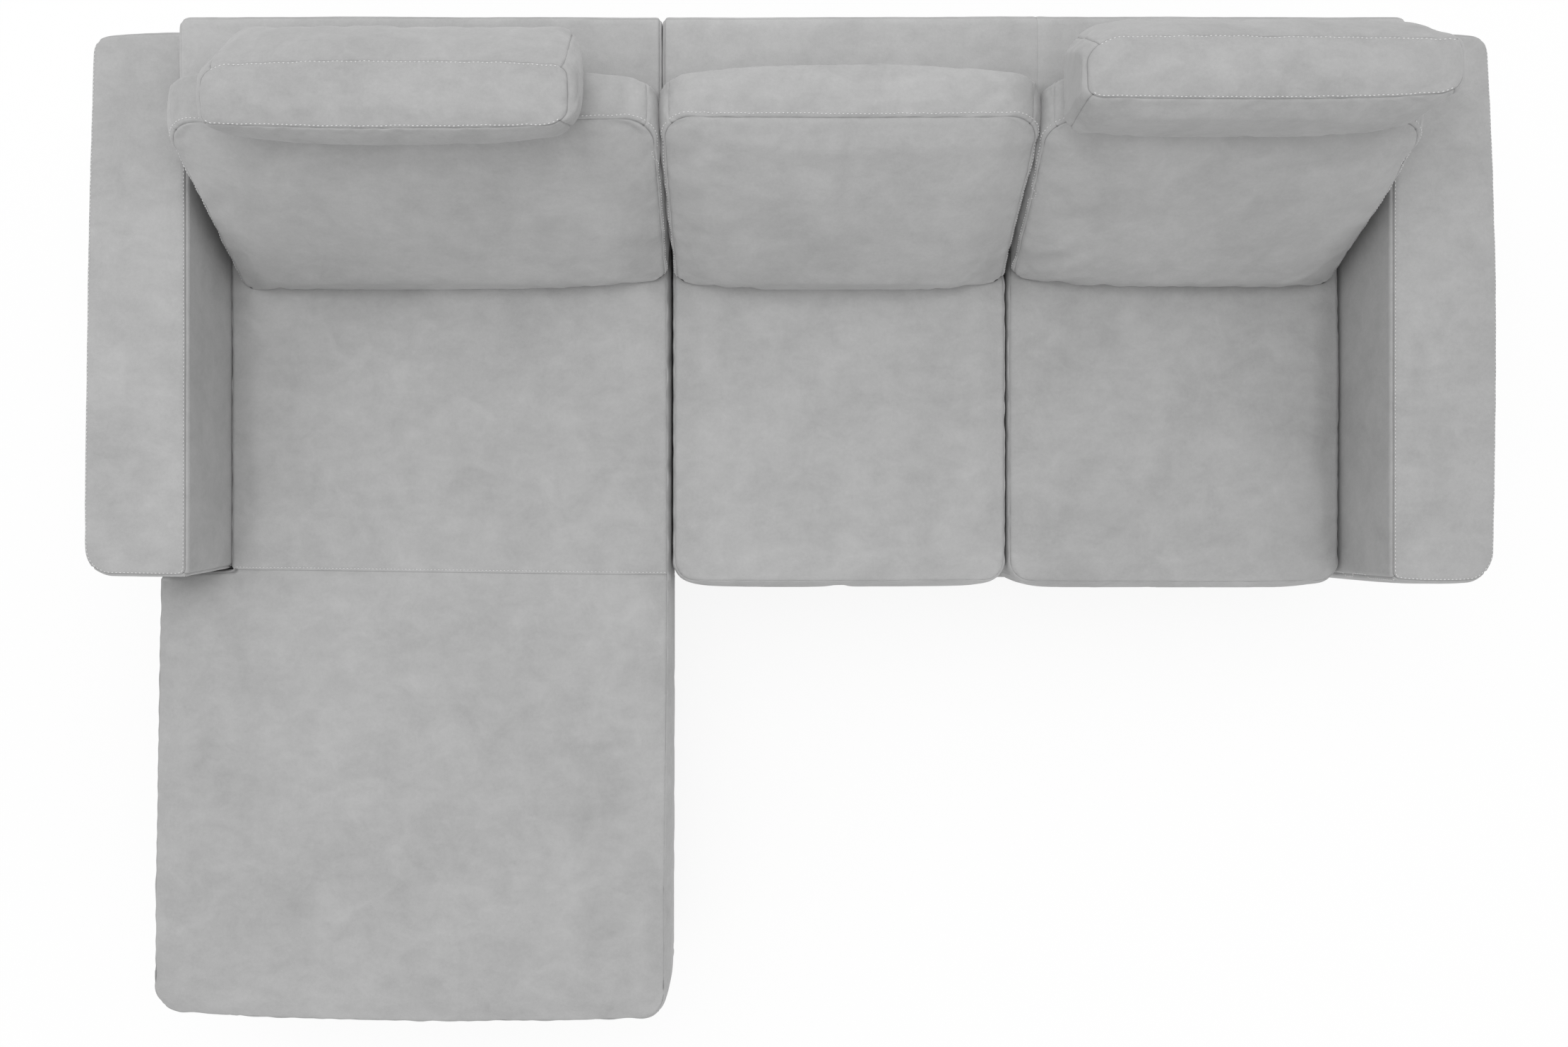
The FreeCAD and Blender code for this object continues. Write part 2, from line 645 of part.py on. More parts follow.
arm_panels = []
for side, arm_x, shares, bolts in ARMS:
    form = padded(rectangle(arm_x, arm_y, shares), ["pad_corner"] * 4, arm_z, "pad_swell",
                  ("pad_edge", "pad_edge"), ("pad_underneath", "pad_underneath"))
    hollow_x, hollow_y = within(arm_x, "pad"), within(arm_y, "pad")
    hollow = block(hollow_x, hollow_y, cavity_z)
    piece(f"{side}_arm_cover", cut(form, hollow, *holes(bolts)))
    panel_x, frame_y, frame_z = within(hollow_x, "fit"), within(hollow_y, "fit"), within(cavity_z, "fit")
    for faces in ((panel_x[0], f"{panel_x[0]} + panel"), (f"{panel_x[1]} - panel", panel_x[1])):
        arm_panels.append(cut(block(faces, frame_y, frame_z), *holes(bolts)))
    frame_x = within(panel_x, "panel + fit")
    boards = [
        block(frame_x, (frame_y[0], f"{frame_y[0]} + rail_thickness"), frame_z),
        block(frame_x, (f"{frame_y[1]} - rail_thickness", frame_y[1]), frame_z),
        block(frame_x, frame_y, (f"{frame_z[1]} - rail_thickness", frame_z[1])),
        block(frame_x, frame_y, (frame_z[0], f"{frame_z[0]} + rail_thickness")),
    ]
    for row in arm_bolt_rows:
        boards.append(block(frame_x, (f"{row} - rail_thickness / 2", f"{row} + rail_thickness / 2"), frame_z))
    piece(f"{side}_arm_frame", cut(joined(*boards), *holes(bolts)))
piece("arm_panels", group(arm_panels))

# Backs: a padded cover over a boarded frame whose front leans back

back_z = ("leg_height", "back_height")
back_cavity_z = ("leg_height + pad_underneath", "back_height - pad")
BACKS = (
    ("left", ("-arm_inside + fit", "chaise_right"), left_back_bolts,
     ("chaise_arm_side + frame_bolt_inset", "chaise_base_right - frame_bolt_inset")),
    ("right", ("pair_left", "arm_inside - fit"), right_back_bolts,
     ("pair_base_left + frame_bolt_inset", "pair_base_right - frame_bolt_inset")),
)


def leaning(front_inset, rear_inset, z):
    """Corners of a section between the leaning front face and the upright rear face."""
    low, high = z
    return [
        (f"{back_face(low)} + {front_inset}", low),
        (f"rear - ({rear_inset})", low),
        (f"rear - ({rear_inset})", high),
        (f"{back_face(high)} + {front_inset}", high),
    ]


back_panels = []
for side, back_x, bolts, posts in BACKS:
    form = padded(rectangle(back_x, (back_face("HEIGHT"), "rear"), (1, 1, 0, 1)), ["pad_corner"] * 4, back_z,
                  "pad_swell", ("pad_edge", "pad_edge"), ("pad_underneath", "pad_underneath"))
    hollow_x = within(back_x, "pad")
    hollow = prism(leaning("pad", "pad", back_cavity_z), hollow_x)
    piece(f"{side}_back_cover", cut(form, hollow, *holes(bolts)))
    sheet_x, frame_z = within(hollow_x, "fit"), within(back_cavity_z, "fit")
    front = leaning("pad + fit", "pad + fit", frame_z)
    behind = leaning("pad + fit + panel", "pad + fit + panel", frame_z)
    back_panels.append(cut(prism([front[0], behind[0], behind[3], front[3]], sheet_x), *holes(bolts)))
    back_panels.append(prism([behind[1], front[1], front[2], behind[2]], sheet_x))
    section = leaning("pad + 2 * fit + panel", "pad + 2 * fit + panel", frame_z)
    top_board = leaning("pad + 2 * fit + panel", "pad + 2 * fit + panel",
                        (f"{frame_z[1]} - rail_thickness", frame_z[1]))
    low_board = leaning("pad + 2 * fit + panel", "pad + 2 * fit + panel",
                        (frame_z[0], f"{frame_z[0]} + rail_thickness"))
    boards = [prism(top_board, sheet_x), prism(low_board, sheet_x)]
    ends = [(sheet_x[0], f"{sheet_x[0]} + rail_thickness"), (f"{sheet_x[1]} - rail_thickness", sheet_x[1])]
    ends += [(f"{post} - rail_thickness / 2", f"{post} + rail_thickness / 2") for post in posts]
    boards += [prism(section, faces) for faces in ends]
    piece(f"{side}_back_frame", cut(joined(*boards), *holes(bolts)))
piece("back_panels", group(back_panels))

# Seat cushions

seat_z = ("seat_underside", "seat_height")
crown = ("seat_crown_drop", "seat_crown_run")
under = ("seat_under_edge", "seat_under_edge / 2")
seat_radii = ["seat_front_corner", "seat_front_corner", "seat_rear_corner", "seat_rear_corner"]
seat_core_z = within(seat_z, "seat_wrap + fit")
SEATS = (
    ("middle_seat", ("pair_left", "divide - cushion_gap / 2")),
    ("right_seat", ("divide + cushion_gap / 2", "arm_inside - cushion_gap")),
)
for name, seat_x in SEATS:
    seat_y = ("seat_front", "seat_rear")
    form = padded(rectangle(seat_x, seat_y), seat_radii, seat_z, "seat_swell", crown, under)
    hollow = block(within(seat_x, "seat_wrap"), within(seat_y, "seat_wrap"), within(seat_z, "seat_wrap"))
    piece(f"{name}_cushion_cover", cut(form, hollow))
    core = block(within(seat_x, "seat_wrap + fit"), within(seat_y, "seat_wrap + fit"), seat_core_z)
    piece(f"{name}_cushion_core", core)

CHAISE_STEP = "-arm_inside + cushion_gap"


def chaise_outline(_, drawn_in, inset):
    """The chaise cushion in plan: as wide as the arm allows at the back, wider in front of the arm."""
    by = f"(({inset}) + ({drawn_in}))"
    left, right, step = f"chaise_left + {by}", f"chaise_right - {by}", f"{CHAISE_STEP} + {by}"
    front, rear, notch = f"chaise_front + {by}", f"seat_rear - {by}", f"notch - {by}"
    return [(left, front), (right, front), (right, rear), (step, rear), (step, notch), (left, notch)]


def chaise_foam(inset, z):
    """The L-shaped block that lies this far inside the chaise cushion."""
    wide = block((f"chaise_left + {inset}", f"chaise_right - ({inset})"),
                 (f"chaise_front + {inset}", f"notch - ({inset})"), z)
    narrow = block((f"{CHAISE_STEP} + {inset}", f"chaise_right - ({inset})"),
                   (f"notch - ({inset})", f"seat_rear - ({inset})"), z)
    return joined(wide, narrow)


chaise_radii = seat_radii + ["seat_rear_corner", "seat_rear_corner"]
chaise_form = padded(chaise_outline, chaise_radii, seat_z, "seat_swell", crown, under)
chaise_hollow = chaise_foam("seat_wrap", within(seat_z, "seat_wrap"))
piece("chaise_cushion_cover", cut(chaise_form, chaise_hollow))
piece("chaise_cushion_core", chaise_foam("seat_wrap + fit", seat_core_z))

# Back cushions, wedges that stand on the seat cushions and lean on the backs

back_cushion_z = ("back_foot", "cushion_top")
rear_line = f"{back_face('HEIGHT')} - fit"
thickness = (
    "(back_cushion_foot + (back_cushion_top - back_cushion_foot)"
    " * (HEIGHT - back_foot) / (cushion_top - back_foot))"
)
edge = ("back_cushion_edge", "back_cushion_edge")
BACK_CUSHIONS = {
    "left": ("-arm_inside + back_cushion_arm_gap", "chaise_right"),
    "middle": ("pair_left", "divide - back_cushion_gap / 2"),
    "right": ("divide + back_cushion_gap / 2", "arm_inside - back_cushion_arm_gap"),
}


def wedge(front_inset, rear_inset, z, x):
    """A block with the back cushion's slopes, this far inside its faces."""
    sides = []
    for height in z:
        rear = f"({rear_line})".replace("HEIGHT", f"({height})")
        front = f"{rear} - {thickness}".replace("HEIGHT", f"({height})")
        sides.append((f"{front} + {front_inset}", f"{rear} - ({rear_inset})"))
    (low_front, low_rear), (high_front, high_rear) = sides
    return prism([(low_front, z[0]), (low_rear, z[0]), (high_rear, z[1]), (high_front, z[1])], x)


back_core_z = ("back_foot + rear_wrap", "cushion_top - back_cushion_edge - rear_wrap / 2")
for side, cushion_x in BACK_CUSHIONS.items():
    face_y = (f"{rear_line} - {thickness}", rear_line)
    form = padded(rectangle(cushion_x, face_y, (1, 1, 3, 0)), ["back_cushion_corner"] * 4, back_cushion_z,
                  "back_cushion_swell", edge, ("back_cushion_edge", "back_cushion_edge / 2"))
    hollow = wedge("front_wrap", "rear_wrap", back_core_z, within(cushion_x, "front_wrap"))
    piece(f"{side}_back_cushion_cover", cut(form, hollow))
    core = wedge("front_wrap + fit", "rear_wrap + fit", within(back_core_z, "fit"),
                 within(cushion_x, "front_wrap + fit"))
    piece(f"{side}_back_cushion_core", core)

# Head cushions, smaller wedges on the outer back cushions, each held by a flap with a bar in its hem

cushion_rear_edge = f"({rear_line})".replace("HEIGHT", "cushion_top")
for side, stance in (("left", "slumped"), ("right", "upright")):
    carrier = BACK_CUSHIONS[side]
    centre = f"(({carrier[0]}) + ({carrier[1]})) / 2"
    head_x = (f"{centre} - head_length / 2", f"{centre} + head_length / 2")
    head_z = ("head_foot", f"head_foot + {stance}_height")
    rise = f"(HEIGHT - head_foot) / {stance}_height"
    front = f"{cushion_rear_edge} - {stance}_reach + {stance}_rake * {rise}"
    depth = f"({stance}_foot + ({stance}_top - {stance}_foot) * {rise})"
    soft = ("head_edge", "head_edge")
    form = padded(rectangle(head_x, (front, f"{front} + {depth}")), ["head_corner"] * 4, head_z,
                  "head_swell", soft, soft)

    def inner(inset):
        """The wedge that lies this far inside the head cushion."""
        low, high = within(head_z, inset)
        faces = [
            (f"{front} + {inset}".replace("HEIGHT", f"({height})"),
             f"{front} + {depth} - ({inset})".replace("HEIGHT", f"({height})"))
            for height in (low, high)
        ]
        corners = [(faces[0][0], low), (faces[0][1], low), (faces[1][1], high), (faces[1][0], high)]
        return prism(corners, within(head_x, inset))

    piece(f"{side}_head_cushion_cover", cut(form, inner("head_wrap")))
    piece(f"{side}_head_cushion_core", inner("head_wrap + fit"))
    flap_x = (f"{centre} - flap_width / 2", f"{centre} + flap_width / 2")
    hem_level = "back_height + fit + hem_radius"
    strip = block(flap_x, ("flap_front", "flap_front + flap_thickness"), (hem_level, "head_foot"))
    hem_y = "flap_front + flap_thickness / 2"
    hem = rod("hem_radius", "flap_width", flap_x[0], hem_y, hem_level, "x")
    bore = rod("weight_radius + bolt_ease", "flap_width", flap_x[0], hem_y, hem_level, "x")
    piece(f"{side}_head_flap", cut(joined(strip, hem), bore))
    piece(f"{side}_head_weight", rod("weight_radius", "flap_width", flap_x[0], hem_y, hem_level, "x"))

doc.recompute()

faults = [item.Name for item in doc.Objects if {"Invalid", "Error"} & set(item.State)]
faults += [name for name, item in PIECES.items() if item.Shape.isNull() or not item.Shape.isValid()]
if faults:
    raise RuntimeError("these did not come out: " + ", ".join(faults))

os.makedirs("parts", exist_ok=True)
for name, item in PIECES.items():
    item.Shape.exportStep(f"parts/{name}.step")
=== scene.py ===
import json
import math
from functools import partial

import bmesh
import bpy
import numpy as np
from mathutils import Matrix, Vector, noise
from mathutils.bvhtree import BVHTree


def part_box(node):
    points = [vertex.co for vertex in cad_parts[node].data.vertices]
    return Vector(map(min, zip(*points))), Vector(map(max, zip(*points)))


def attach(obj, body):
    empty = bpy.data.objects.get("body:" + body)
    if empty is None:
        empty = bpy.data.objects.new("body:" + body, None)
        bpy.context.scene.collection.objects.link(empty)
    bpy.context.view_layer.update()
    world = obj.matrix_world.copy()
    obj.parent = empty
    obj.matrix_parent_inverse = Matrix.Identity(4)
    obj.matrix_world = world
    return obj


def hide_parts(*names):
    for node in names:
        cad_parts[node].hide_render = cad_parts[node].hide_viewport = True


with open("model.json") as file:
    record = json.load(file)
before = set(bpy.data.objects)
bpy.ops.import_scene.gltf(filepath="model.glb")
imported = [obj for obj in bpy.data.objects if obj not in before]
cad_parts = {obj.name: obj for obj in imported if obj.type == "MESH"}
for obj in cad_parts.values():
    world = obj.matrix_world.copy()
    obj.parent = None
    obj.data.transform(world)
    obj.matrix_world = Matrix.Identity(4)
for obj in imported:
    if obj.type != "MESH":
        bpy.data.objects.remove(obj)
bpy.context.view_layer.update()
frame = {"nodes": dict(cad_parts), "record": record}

# Lounge sofa with a chaise longue, dressed on its frame, in metres.
# X runs across the sofa from the chaise to the far arm, Y to the back, Z up.

MM = 0.001
collection = bpy.context.scene.collection


# Finishes


class Wire:
    """A node's output that takes part in sums and products as a number does."""

    def __init__(self, finish, socket):
        self.finish, self.socket = finish, socket

    def maths(self, operation, first, second):
        return self.finish.node("ShaderNodeMath", {"operation": operation}, {0: first, 1: second})

    def __add__(self, other):
        return self.maths("ADD", self, other)

    def __mul__(self, other):
        return self.maths("MULTIPLY", self, other)

    __radd__ = __add__
    __rmul__ = __mul__


class Finish:
    """The nodes of one material, or of the world."""

    def __init__(self, name, kind="materials"):
        self.material = getattr(bpy.data, kind).new(name)
        self.material.use_nodes = True
        self.tree = self.material.node_tree
        self.tree.nodes.clear()
        self.end = "ShaderNodeOutputWorld" if kind == "worlds" else "ShaderNodeOutputMaterial"
        self.place = self.node("ShaderNodeTexCoord", result="Object")

    def node(self, kind, settings=None, sockets=None, result=0):
        """Adds a node with its settings made and its sockets filled or linked, and gives one output."""
        made = self.tree.nodes.new(kind)
        for key, value in (settings or {}).items():
            if key == "stops":
                ramp = made.color_ramp.elements
                while len(ramp) < len(value):
                    ramp.new(0.5)
                for stop, (position, shade) in zip(ramp, value):
                    stop.position = position
                    stop.color = shade
            else:
                setattr(made, key, value)
        for key, value in (sockets or {}).items():
            if isinstance(value, Wire):
                self.tree.links.new(value.socket, made.inputs[key])
            else:
                made.inputs[key].default_value = value
        return None if result is None else Wire(self, made.outputs[result])

    def stretched(self, x, y, z):
        """Object coordinates, scaled by these factors."""
        return self.node("ShaderNodeMapping", {}, {"Vector": self.place, "Scale": (x, y, z)})

    def cloud(self, scale, detail=3.0, roughness=0.5, distortion=0.0, place=None):
        sockets = {"Vector": place or self.place, "Scale": scale, "Detail": detail}
        sockets.update({"Roughness": roughness, "Distortion": distortion})
        return self.node("ShaderNodeTexNoise", {}, sockets)

    def between(self, share, low, high):
        """A colour between two others."""
        return self.node("ShaderNodeMix", {"data_type": "RGBA"}, {"Factor": share, "A": low, "B": high}, 2)

    def range(self, value, low, high, to_low, to_high):
        sockets = {"Value": value, "From Min": low, "From Max": high, "To Min": to_low, "To Max": to_high}
        return self.node("ShaderNodeMapRange", {}, sockets)

    def bump(self, height, distance, strength=1.0, normal=None):
        sockets = {"Height": height, "Distance": distance, "Strength": strength}
        if normal:
            sockets["Normal"] = normal
        return self.node("ShaderNodeBump", {}, sockets)

    def close(self, colour, roughness, normal=None, fixed=None):
        """Ends the finish in a principled shader; fixed holds the sockets that are the same all over."""
        sockets = {"Base Color": colour, "Roughness": roughness, **(fixed or {})}
        if normal:
            sockets["Normal"] = normal
        return self.shown_by(self.node("ShaderNodeBsdfPrincipled", {}, sockets))

    def either(self, share, first, second):
        """One shader or another."""
        return self.node("ShaderNodeMixShader", {}, {0: share, 1: first, 2: second})

    def direct(self):
        """1 for what the camera sees, also by way of metal or glass, and 0 for what only gives light."""
        kinds = ("Camera", "Glossy", "Transmission")
        rays = [self.node("ShaderNodeLightPath", result=f"Is {kind} Ray") for kind in kinds]
        return self.node("ShaderNodeMath", {"operation": "MINIMUM"}, {0: rays[0] + rays[1] + rays[2], 1: 1.0})

    def shown_by(self, shader):
        self.node(self.end, {}, {"Surface": shader}, None)
        return self.material


def grey(value):
    """A neutral colour from its value on the 0 to 255 scale of a screen."""
    share = value / 255
    linear = ((share + 0.055) / 1.055) ** 2.4
    return (linear, linear, linear, 1)


def brushed_microfibre(name, tone):
    """Suede-like cloth: cloudy where the nap lies differently, with a fine grain, and painted shade in thin
    dark lines along the seams.
    """
    cloth = Finish(name)
    warped = cloth.cloud(5.0, 2.0, 0.5)
    clouds = cloth.cloud(13.0, 7.0, 0.66, 0.6)
    strokes = cloth.cloud(40.0, 4.0, 0.6, 0.4, cloth.stretched(0.55, 1.0, 1.0))
    grain = cloth.cloud(620.0, 2.0, 0.7)
    nap = cloth.cloud(190.0, 3.0, 0.6)
    share = 0.24 * warped + 0.32 * clouds + 0.18 * strokes + 0.14 * nap + 0.12 * grain
    colour = cloth.between(cloth.range(share, 0.36, 0.64, 0.0, 1.0), grey(tone - 12), grey(tone + 10))
    # Painted shade: the colour darkens in a thin line along each seam, where the seam's groove lies in shade
    seam = cloth.node("ShaderNodeAttribute", {"attribute_name": "seam"}, result="Fac")
    colour = cloth.between(cloth.range(seam, 0.95, 0.99, 0.0, 0.5), colour, grey(tone - 62))
    weave = cloth.bump(grain + 0.6 * nap, 0.0006, 0.35)
    soft = cloth.bump(cloth.cloud(48.0, 4.0, 0.55, 0.3), 0.0022, 0.35, weave)
    rough = cloth.range(clouds, 0.3, 0.7, 0.96, 0.86)
    fixed = {"Sheen Weight": 0.16, "Sheen Roughness": 0.5, "Sheen Tint": (1, 1, 1, 1)}
    return cloth.close(colour, rough, soft, {**fixed, "Specular IOR Level": 0.18})


def sewing_thread():
    thread = Finish("sewing_thread")
    twist = thread.cloud(900.0, 1.0, 0.5)
    colour = thread.between(twist, grey(196), grey(214))
    return thread.close(colour, 0.7, thread.bump(twist, 0.0002, 0.4), {"Sheen Weight": 0.2})


def sawn_timber(name, along):
    """Softwood with its grain along X, Y or Z."""
    wood = Finish(name)
    scale = [26.0, 26.0, 26.0]
    scale[along] = 1.6
    rings = wood.cloud(1.0, 3.0, 0.5, 0.8, wood.stretched(*scale))
    fibres = wood.cloud(9.0, 4.0, 0.7, 0.0, wood.stretched(*scale))
    bands = wood.node("ShaderNodeMath", {"operation": "PINGPONG"}, {0: rings * 9.0, 1: 1.0})
    share = 0.7 * bands + 0.3 * fibres
    colour = wood.between(share, (0.62, 0.42, 0.22, 1), (0.40, 0.24, 0.11, 1))
    return wood.close(colour, 0.72 + 0.12 * fibres, wood.bump(share, 0.0008, 0.3))


def pressed_board():
    board = Finish("hardboard")
    fibres = board.cloud(240.0, 5.0, 0.75, 1.2)
    colour = board.between(fibres, (0.20, 0.105, 0.045, 1), (0.11, 0.055, 0.024, 1))
    return board.close(colour, 0.5 + 0.2 * fibres, board.bump(fibres, 0.0004, 0.3))


def lacquered_wood():
    wood = Finish("stained_wood")
    grain = wood.cloud(3.0, 4.0, 0.6, 0.5, wood.stretched(40.0, 40.0, 4.0))
    colour = wood.between(grain, (0.020, 0.011, 0.007, 1), (0.052, 0.029, 0.017, 1))
    return wood.close(colour, 0.28 + 0.12 * grain, wood.bump(grain, 0.0003, 0.2), {"Coat Roughness": 0.15})


def metal(name, light, dark, roughness):
    steel = Finish(name)
    spangle = steel.cloud(160.0, 3.0, 0.6)
    colour = steel.between(spangle, dark, light)
    pits = steel.bump(spangle, 0.0001, 0.2)
    return steel.close(colour, roughness + 0.15 * spangle, pits, {"Metallic": 1.0})


def needled_felt():
    felt = Finish("felt")
    tufts = felt.cloud(85.0, 6.0, 0.75, 0.8)
    flecks = felt.cloud(420.0, 2.0, 0.6)
    share = 0.6 * tufts + 0.4 * flecks
    colour = felt.between(share, (0.11, 0.105, 0.095, 1), (0.26, 0.25, 0.235, 1))
    return felt.close(colour, 0.97, felt.bump(share, 0.0018, 0.6), {"Sheen Weight": 0.15})


def spunbond_lining():
    lining = Finish("lining_cloth")
    points = lining.node("ShaderNodeTexVoronoi", {}, {"Vector": lining.place, "Scale": 520.0})
    threads = lining.cloud(300.0, 3.0, 0.7)
    colour = lining.between(threads, (0.006, 0.006, 0.006, 1), (0.022, 0.022, 0.022, 1))
    return lining.close(colour, 0.85, lining.bump(points + 0.5 * threads, 0.0004, 0.5))


def cut_foam():
    foam = Finish("foam")
    pores = foam.node("ShaderNodeTexVoronoi", {}, {"Vector": foam.place, "Scale": 420.0})
    blush = foam.cloud(14.0, 3.0, 0.5)
    colour = foam.between(blush, (0.70, 0.64, 0.46, 1), (0.80, 0.76, 0.60, 1))
    return foam.close(colour, 0.95, foam.bump(pores, 0.0012, 0.7))


def moulded_plastic():
    plastic = Finish("black_plastic")
    texture = plastic.cloud(380.0, 3.0, 0.6)
    colour = plastic.between(texture, (0.010, 0.010, 0.010, 1), (0.020, 0.020, 0.020, 1))
    return plastic.close(colour, 0.42 + 0.12 * texture, plastic.bump(texture, 0.0002, 0.3))


# Painted light and shade: some covers take a lighter or a darker copy of the cloth, for how the light falls
# on them
UPHOLSTERY = brushed_microfibre("upholstery", 168)
UPHOLSTERY_PAINTED_LIGHT = brushed_microfibre("upholstery_nap_up", 173)
UPHOLSTERY_PAINTED_SHADE = brushed_microfibre("upholstery_nap_down", 164)
PAINTED_LIGHT_AND_SHADE_COVERS = {
    "left_back": UPHOLSTERY_PAINTED_LIGHT, "right_back": UPHOLSTERY_PAINTED_LIGHT, "right_arm": UPHOLSTERY_PAINTED_SHADE, "right_seat_cushion": UPHOLSTERY_PAINTED_SHADE,
    "left_head_cushion": UPHOLSTERY_PAINTED_SHADE, "right_head_cushion": UPHOLSTERY_PAINTED_SHADE,
}
THREAD = sewing_thread()
TIMBER = [sawn_timber("timber_across", 0), sawn_timber("timber_back", 1), sawn_timber("timber_up", 2)]
FINISHES = {
    "foam": cut_foam(),
    "hardboard": pressed_board(),
    "spring_steel": metal("spring_steel", (0.13, 0.13, 0.135, 1), (0.07, 0.07, 0.072, 1), 0.32),
    "plated_steel": metal("plated_steel", (0.52, 0.52, 0.50, 1), (0.36, 0.36, 0.35, 1), 0.30),
    "felt": needled_felt(),
    "lining_cloth": spunbond_lining(),
    "stained_wood": lacquered_wood(),
    "black_plastic": moulded_plastic(),
}


# Meshes

# Degrees round an edge at which loops lie, from the seam to the flat
RIM_TURNS = (45, 42.5, 38, 31, 21, 10, 0)
CORNER_TURNS = (28, 19, 9, 0)


def gaps(rim, corner=0.0):
    """How far in from one end the loops lie that round its edge, and beyond them its corner in plan."""
    found = [rim * (1 - math.tan(math.radians(turn))) for turn in RIM_TURNS]
    wide = [corner * (1 - math.tan(math.radians(turn))) for turn in CORNER_TURNS]
    return found + [gap for gap in wide if gap > 1.2 * rim]


def stations(low, high, ends, step, lines=()):
    """Where the loops across one direction stand: close together at both ends and at each line."""
    places = [low + gap for gap in ends[0]]
    last = [high - gap for gap in reversed(ends[1])]
    for stop in [*lines, last[0]]:
        first = places[-1]
        count = max(1, round((stop - first) / step))
        places += [first + (stop - first) * share / count for share in range(1, count + 1)]
    return places + last[1:]


def beside(line):
    """Loops at a seam across a flat panel and close to it."""
    return [line - 9 * MM, line - 4 * MM, line, line + 4 * MM, line + 9 * MM]


def leave_out(bm, x, y):
    """Cuts away the part of a block that is left of x and behind y, and walls it up again."""
    gone = []
    for face in bm.faces:
        centre = face.calc_center_median()
        if centre.x < x and centre.y > y:
            gone.append(face)
    bmesh.ops.delete(bm, geom=gone, context="FACES")
    rims = [e for e in bm.edges if e.is_boundary and abs(e.verts[0].co.z - e.verts[1].co.z) < 0.5]
    bmesh.ops.bridge_loops(bm, edges=rims)


def block_mesh(name, tables, notch=None):
    """A closed block of quads whose loops stand where the tables say."""
    bm = bmesh.new()
    bmesh.ops.create_cube(bm, size=1, matrix=Matrix.Translation((0.5, 0.5, 0.5)))
    for axis, table in enumerate(tables):
        if axis == 2 and notch is not None:
            shares = [np.abs(np.array(tables[a]) - notch[a]).argmin() / (len(tables[a]) - 1) for a in (0, 1)]
            leave_out(bm, *shares)
        across = [e for e in bm.edges if abs(e.verts[0].co[axis] - e.verts[1].co[axis]) > 0.5]
        bmesh.ops.subdivide_edges(bm, edges=across, cuts=len(table) - 2)
    for vertex in bm.verts:
        vertex.co = [table[round(share * (len(table) - 1))] for table, share in zip(tables, vertex.co)]
    bmesh.ops.recalc_face_normals(bm, faces=bm.faces[:])
    return meshed(bm, name)


def meshed(bm, name):
    mesh = bpy.data.meshes.new(name)
    bm.to_mesh(mesh)
    bm.free()
    return mesh


def read(data, what="co"):
    values = np.empty(len(data) * 3, np.float32)
    data.foreach_get(what, values)
    return values.reshape(-1, 3).astype(float)


def write(mesh, places):
    mesh.vertices.foreach_set("co", places.astype(np.float32).ravel())
    mesh.update()


def smooth(mesh):
    mesh.polygons.foreach_set("use_smooth", [True] * len(mesh.polygons))


def placed(name, mesh, finish, body, nodes=()):
    """Makes a mesh one piece of the sofa, in its finish, riding on its body."""
    obj = bpy.data.objects.new(name, mesh)
    collection.objects.link(obj)
    mesh.materials.clear()
    mesh.materials.append(finish)
    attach(obj, body)
    if nodes:
        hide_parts(*nodes)
    return obj


def baked(obj):
    """The mesh of an object with its modifiers applied."""
    graph = bpy.context.evaluated_depsgraph_get()
    return bpy.data.meshes.new_from_object(obj.evaluated_get(graph), depsgraph=graph)


# Sewn covers

GROOVE_DEPTH = 1.3 * MM
GROOVE_WIDTH = 2.0 * MM
RIDGE = 0.35 * MM
PITCH = 7 * MM
THREAD_RADIUS = 0.95 * MM
SEAM_REACH = 20 * MM
FOLD_REACH = 2.5 * MM
ROLL_AWAY, ROLL_WIDTH, ROLL_HEIGHT = 6 * MM, 5 * MM, 0.4 * MM
PUCKER_REACH, PUCKER_FADE, PUCKER_HEIGHT = 26 * MM, 10 * MM, 1.5 * MM
FILLING_INSET = 9 * MM
CROWN_REACH = 45 * MM
FAR_SIDES = ("right", "rear", "top", "arm_end")


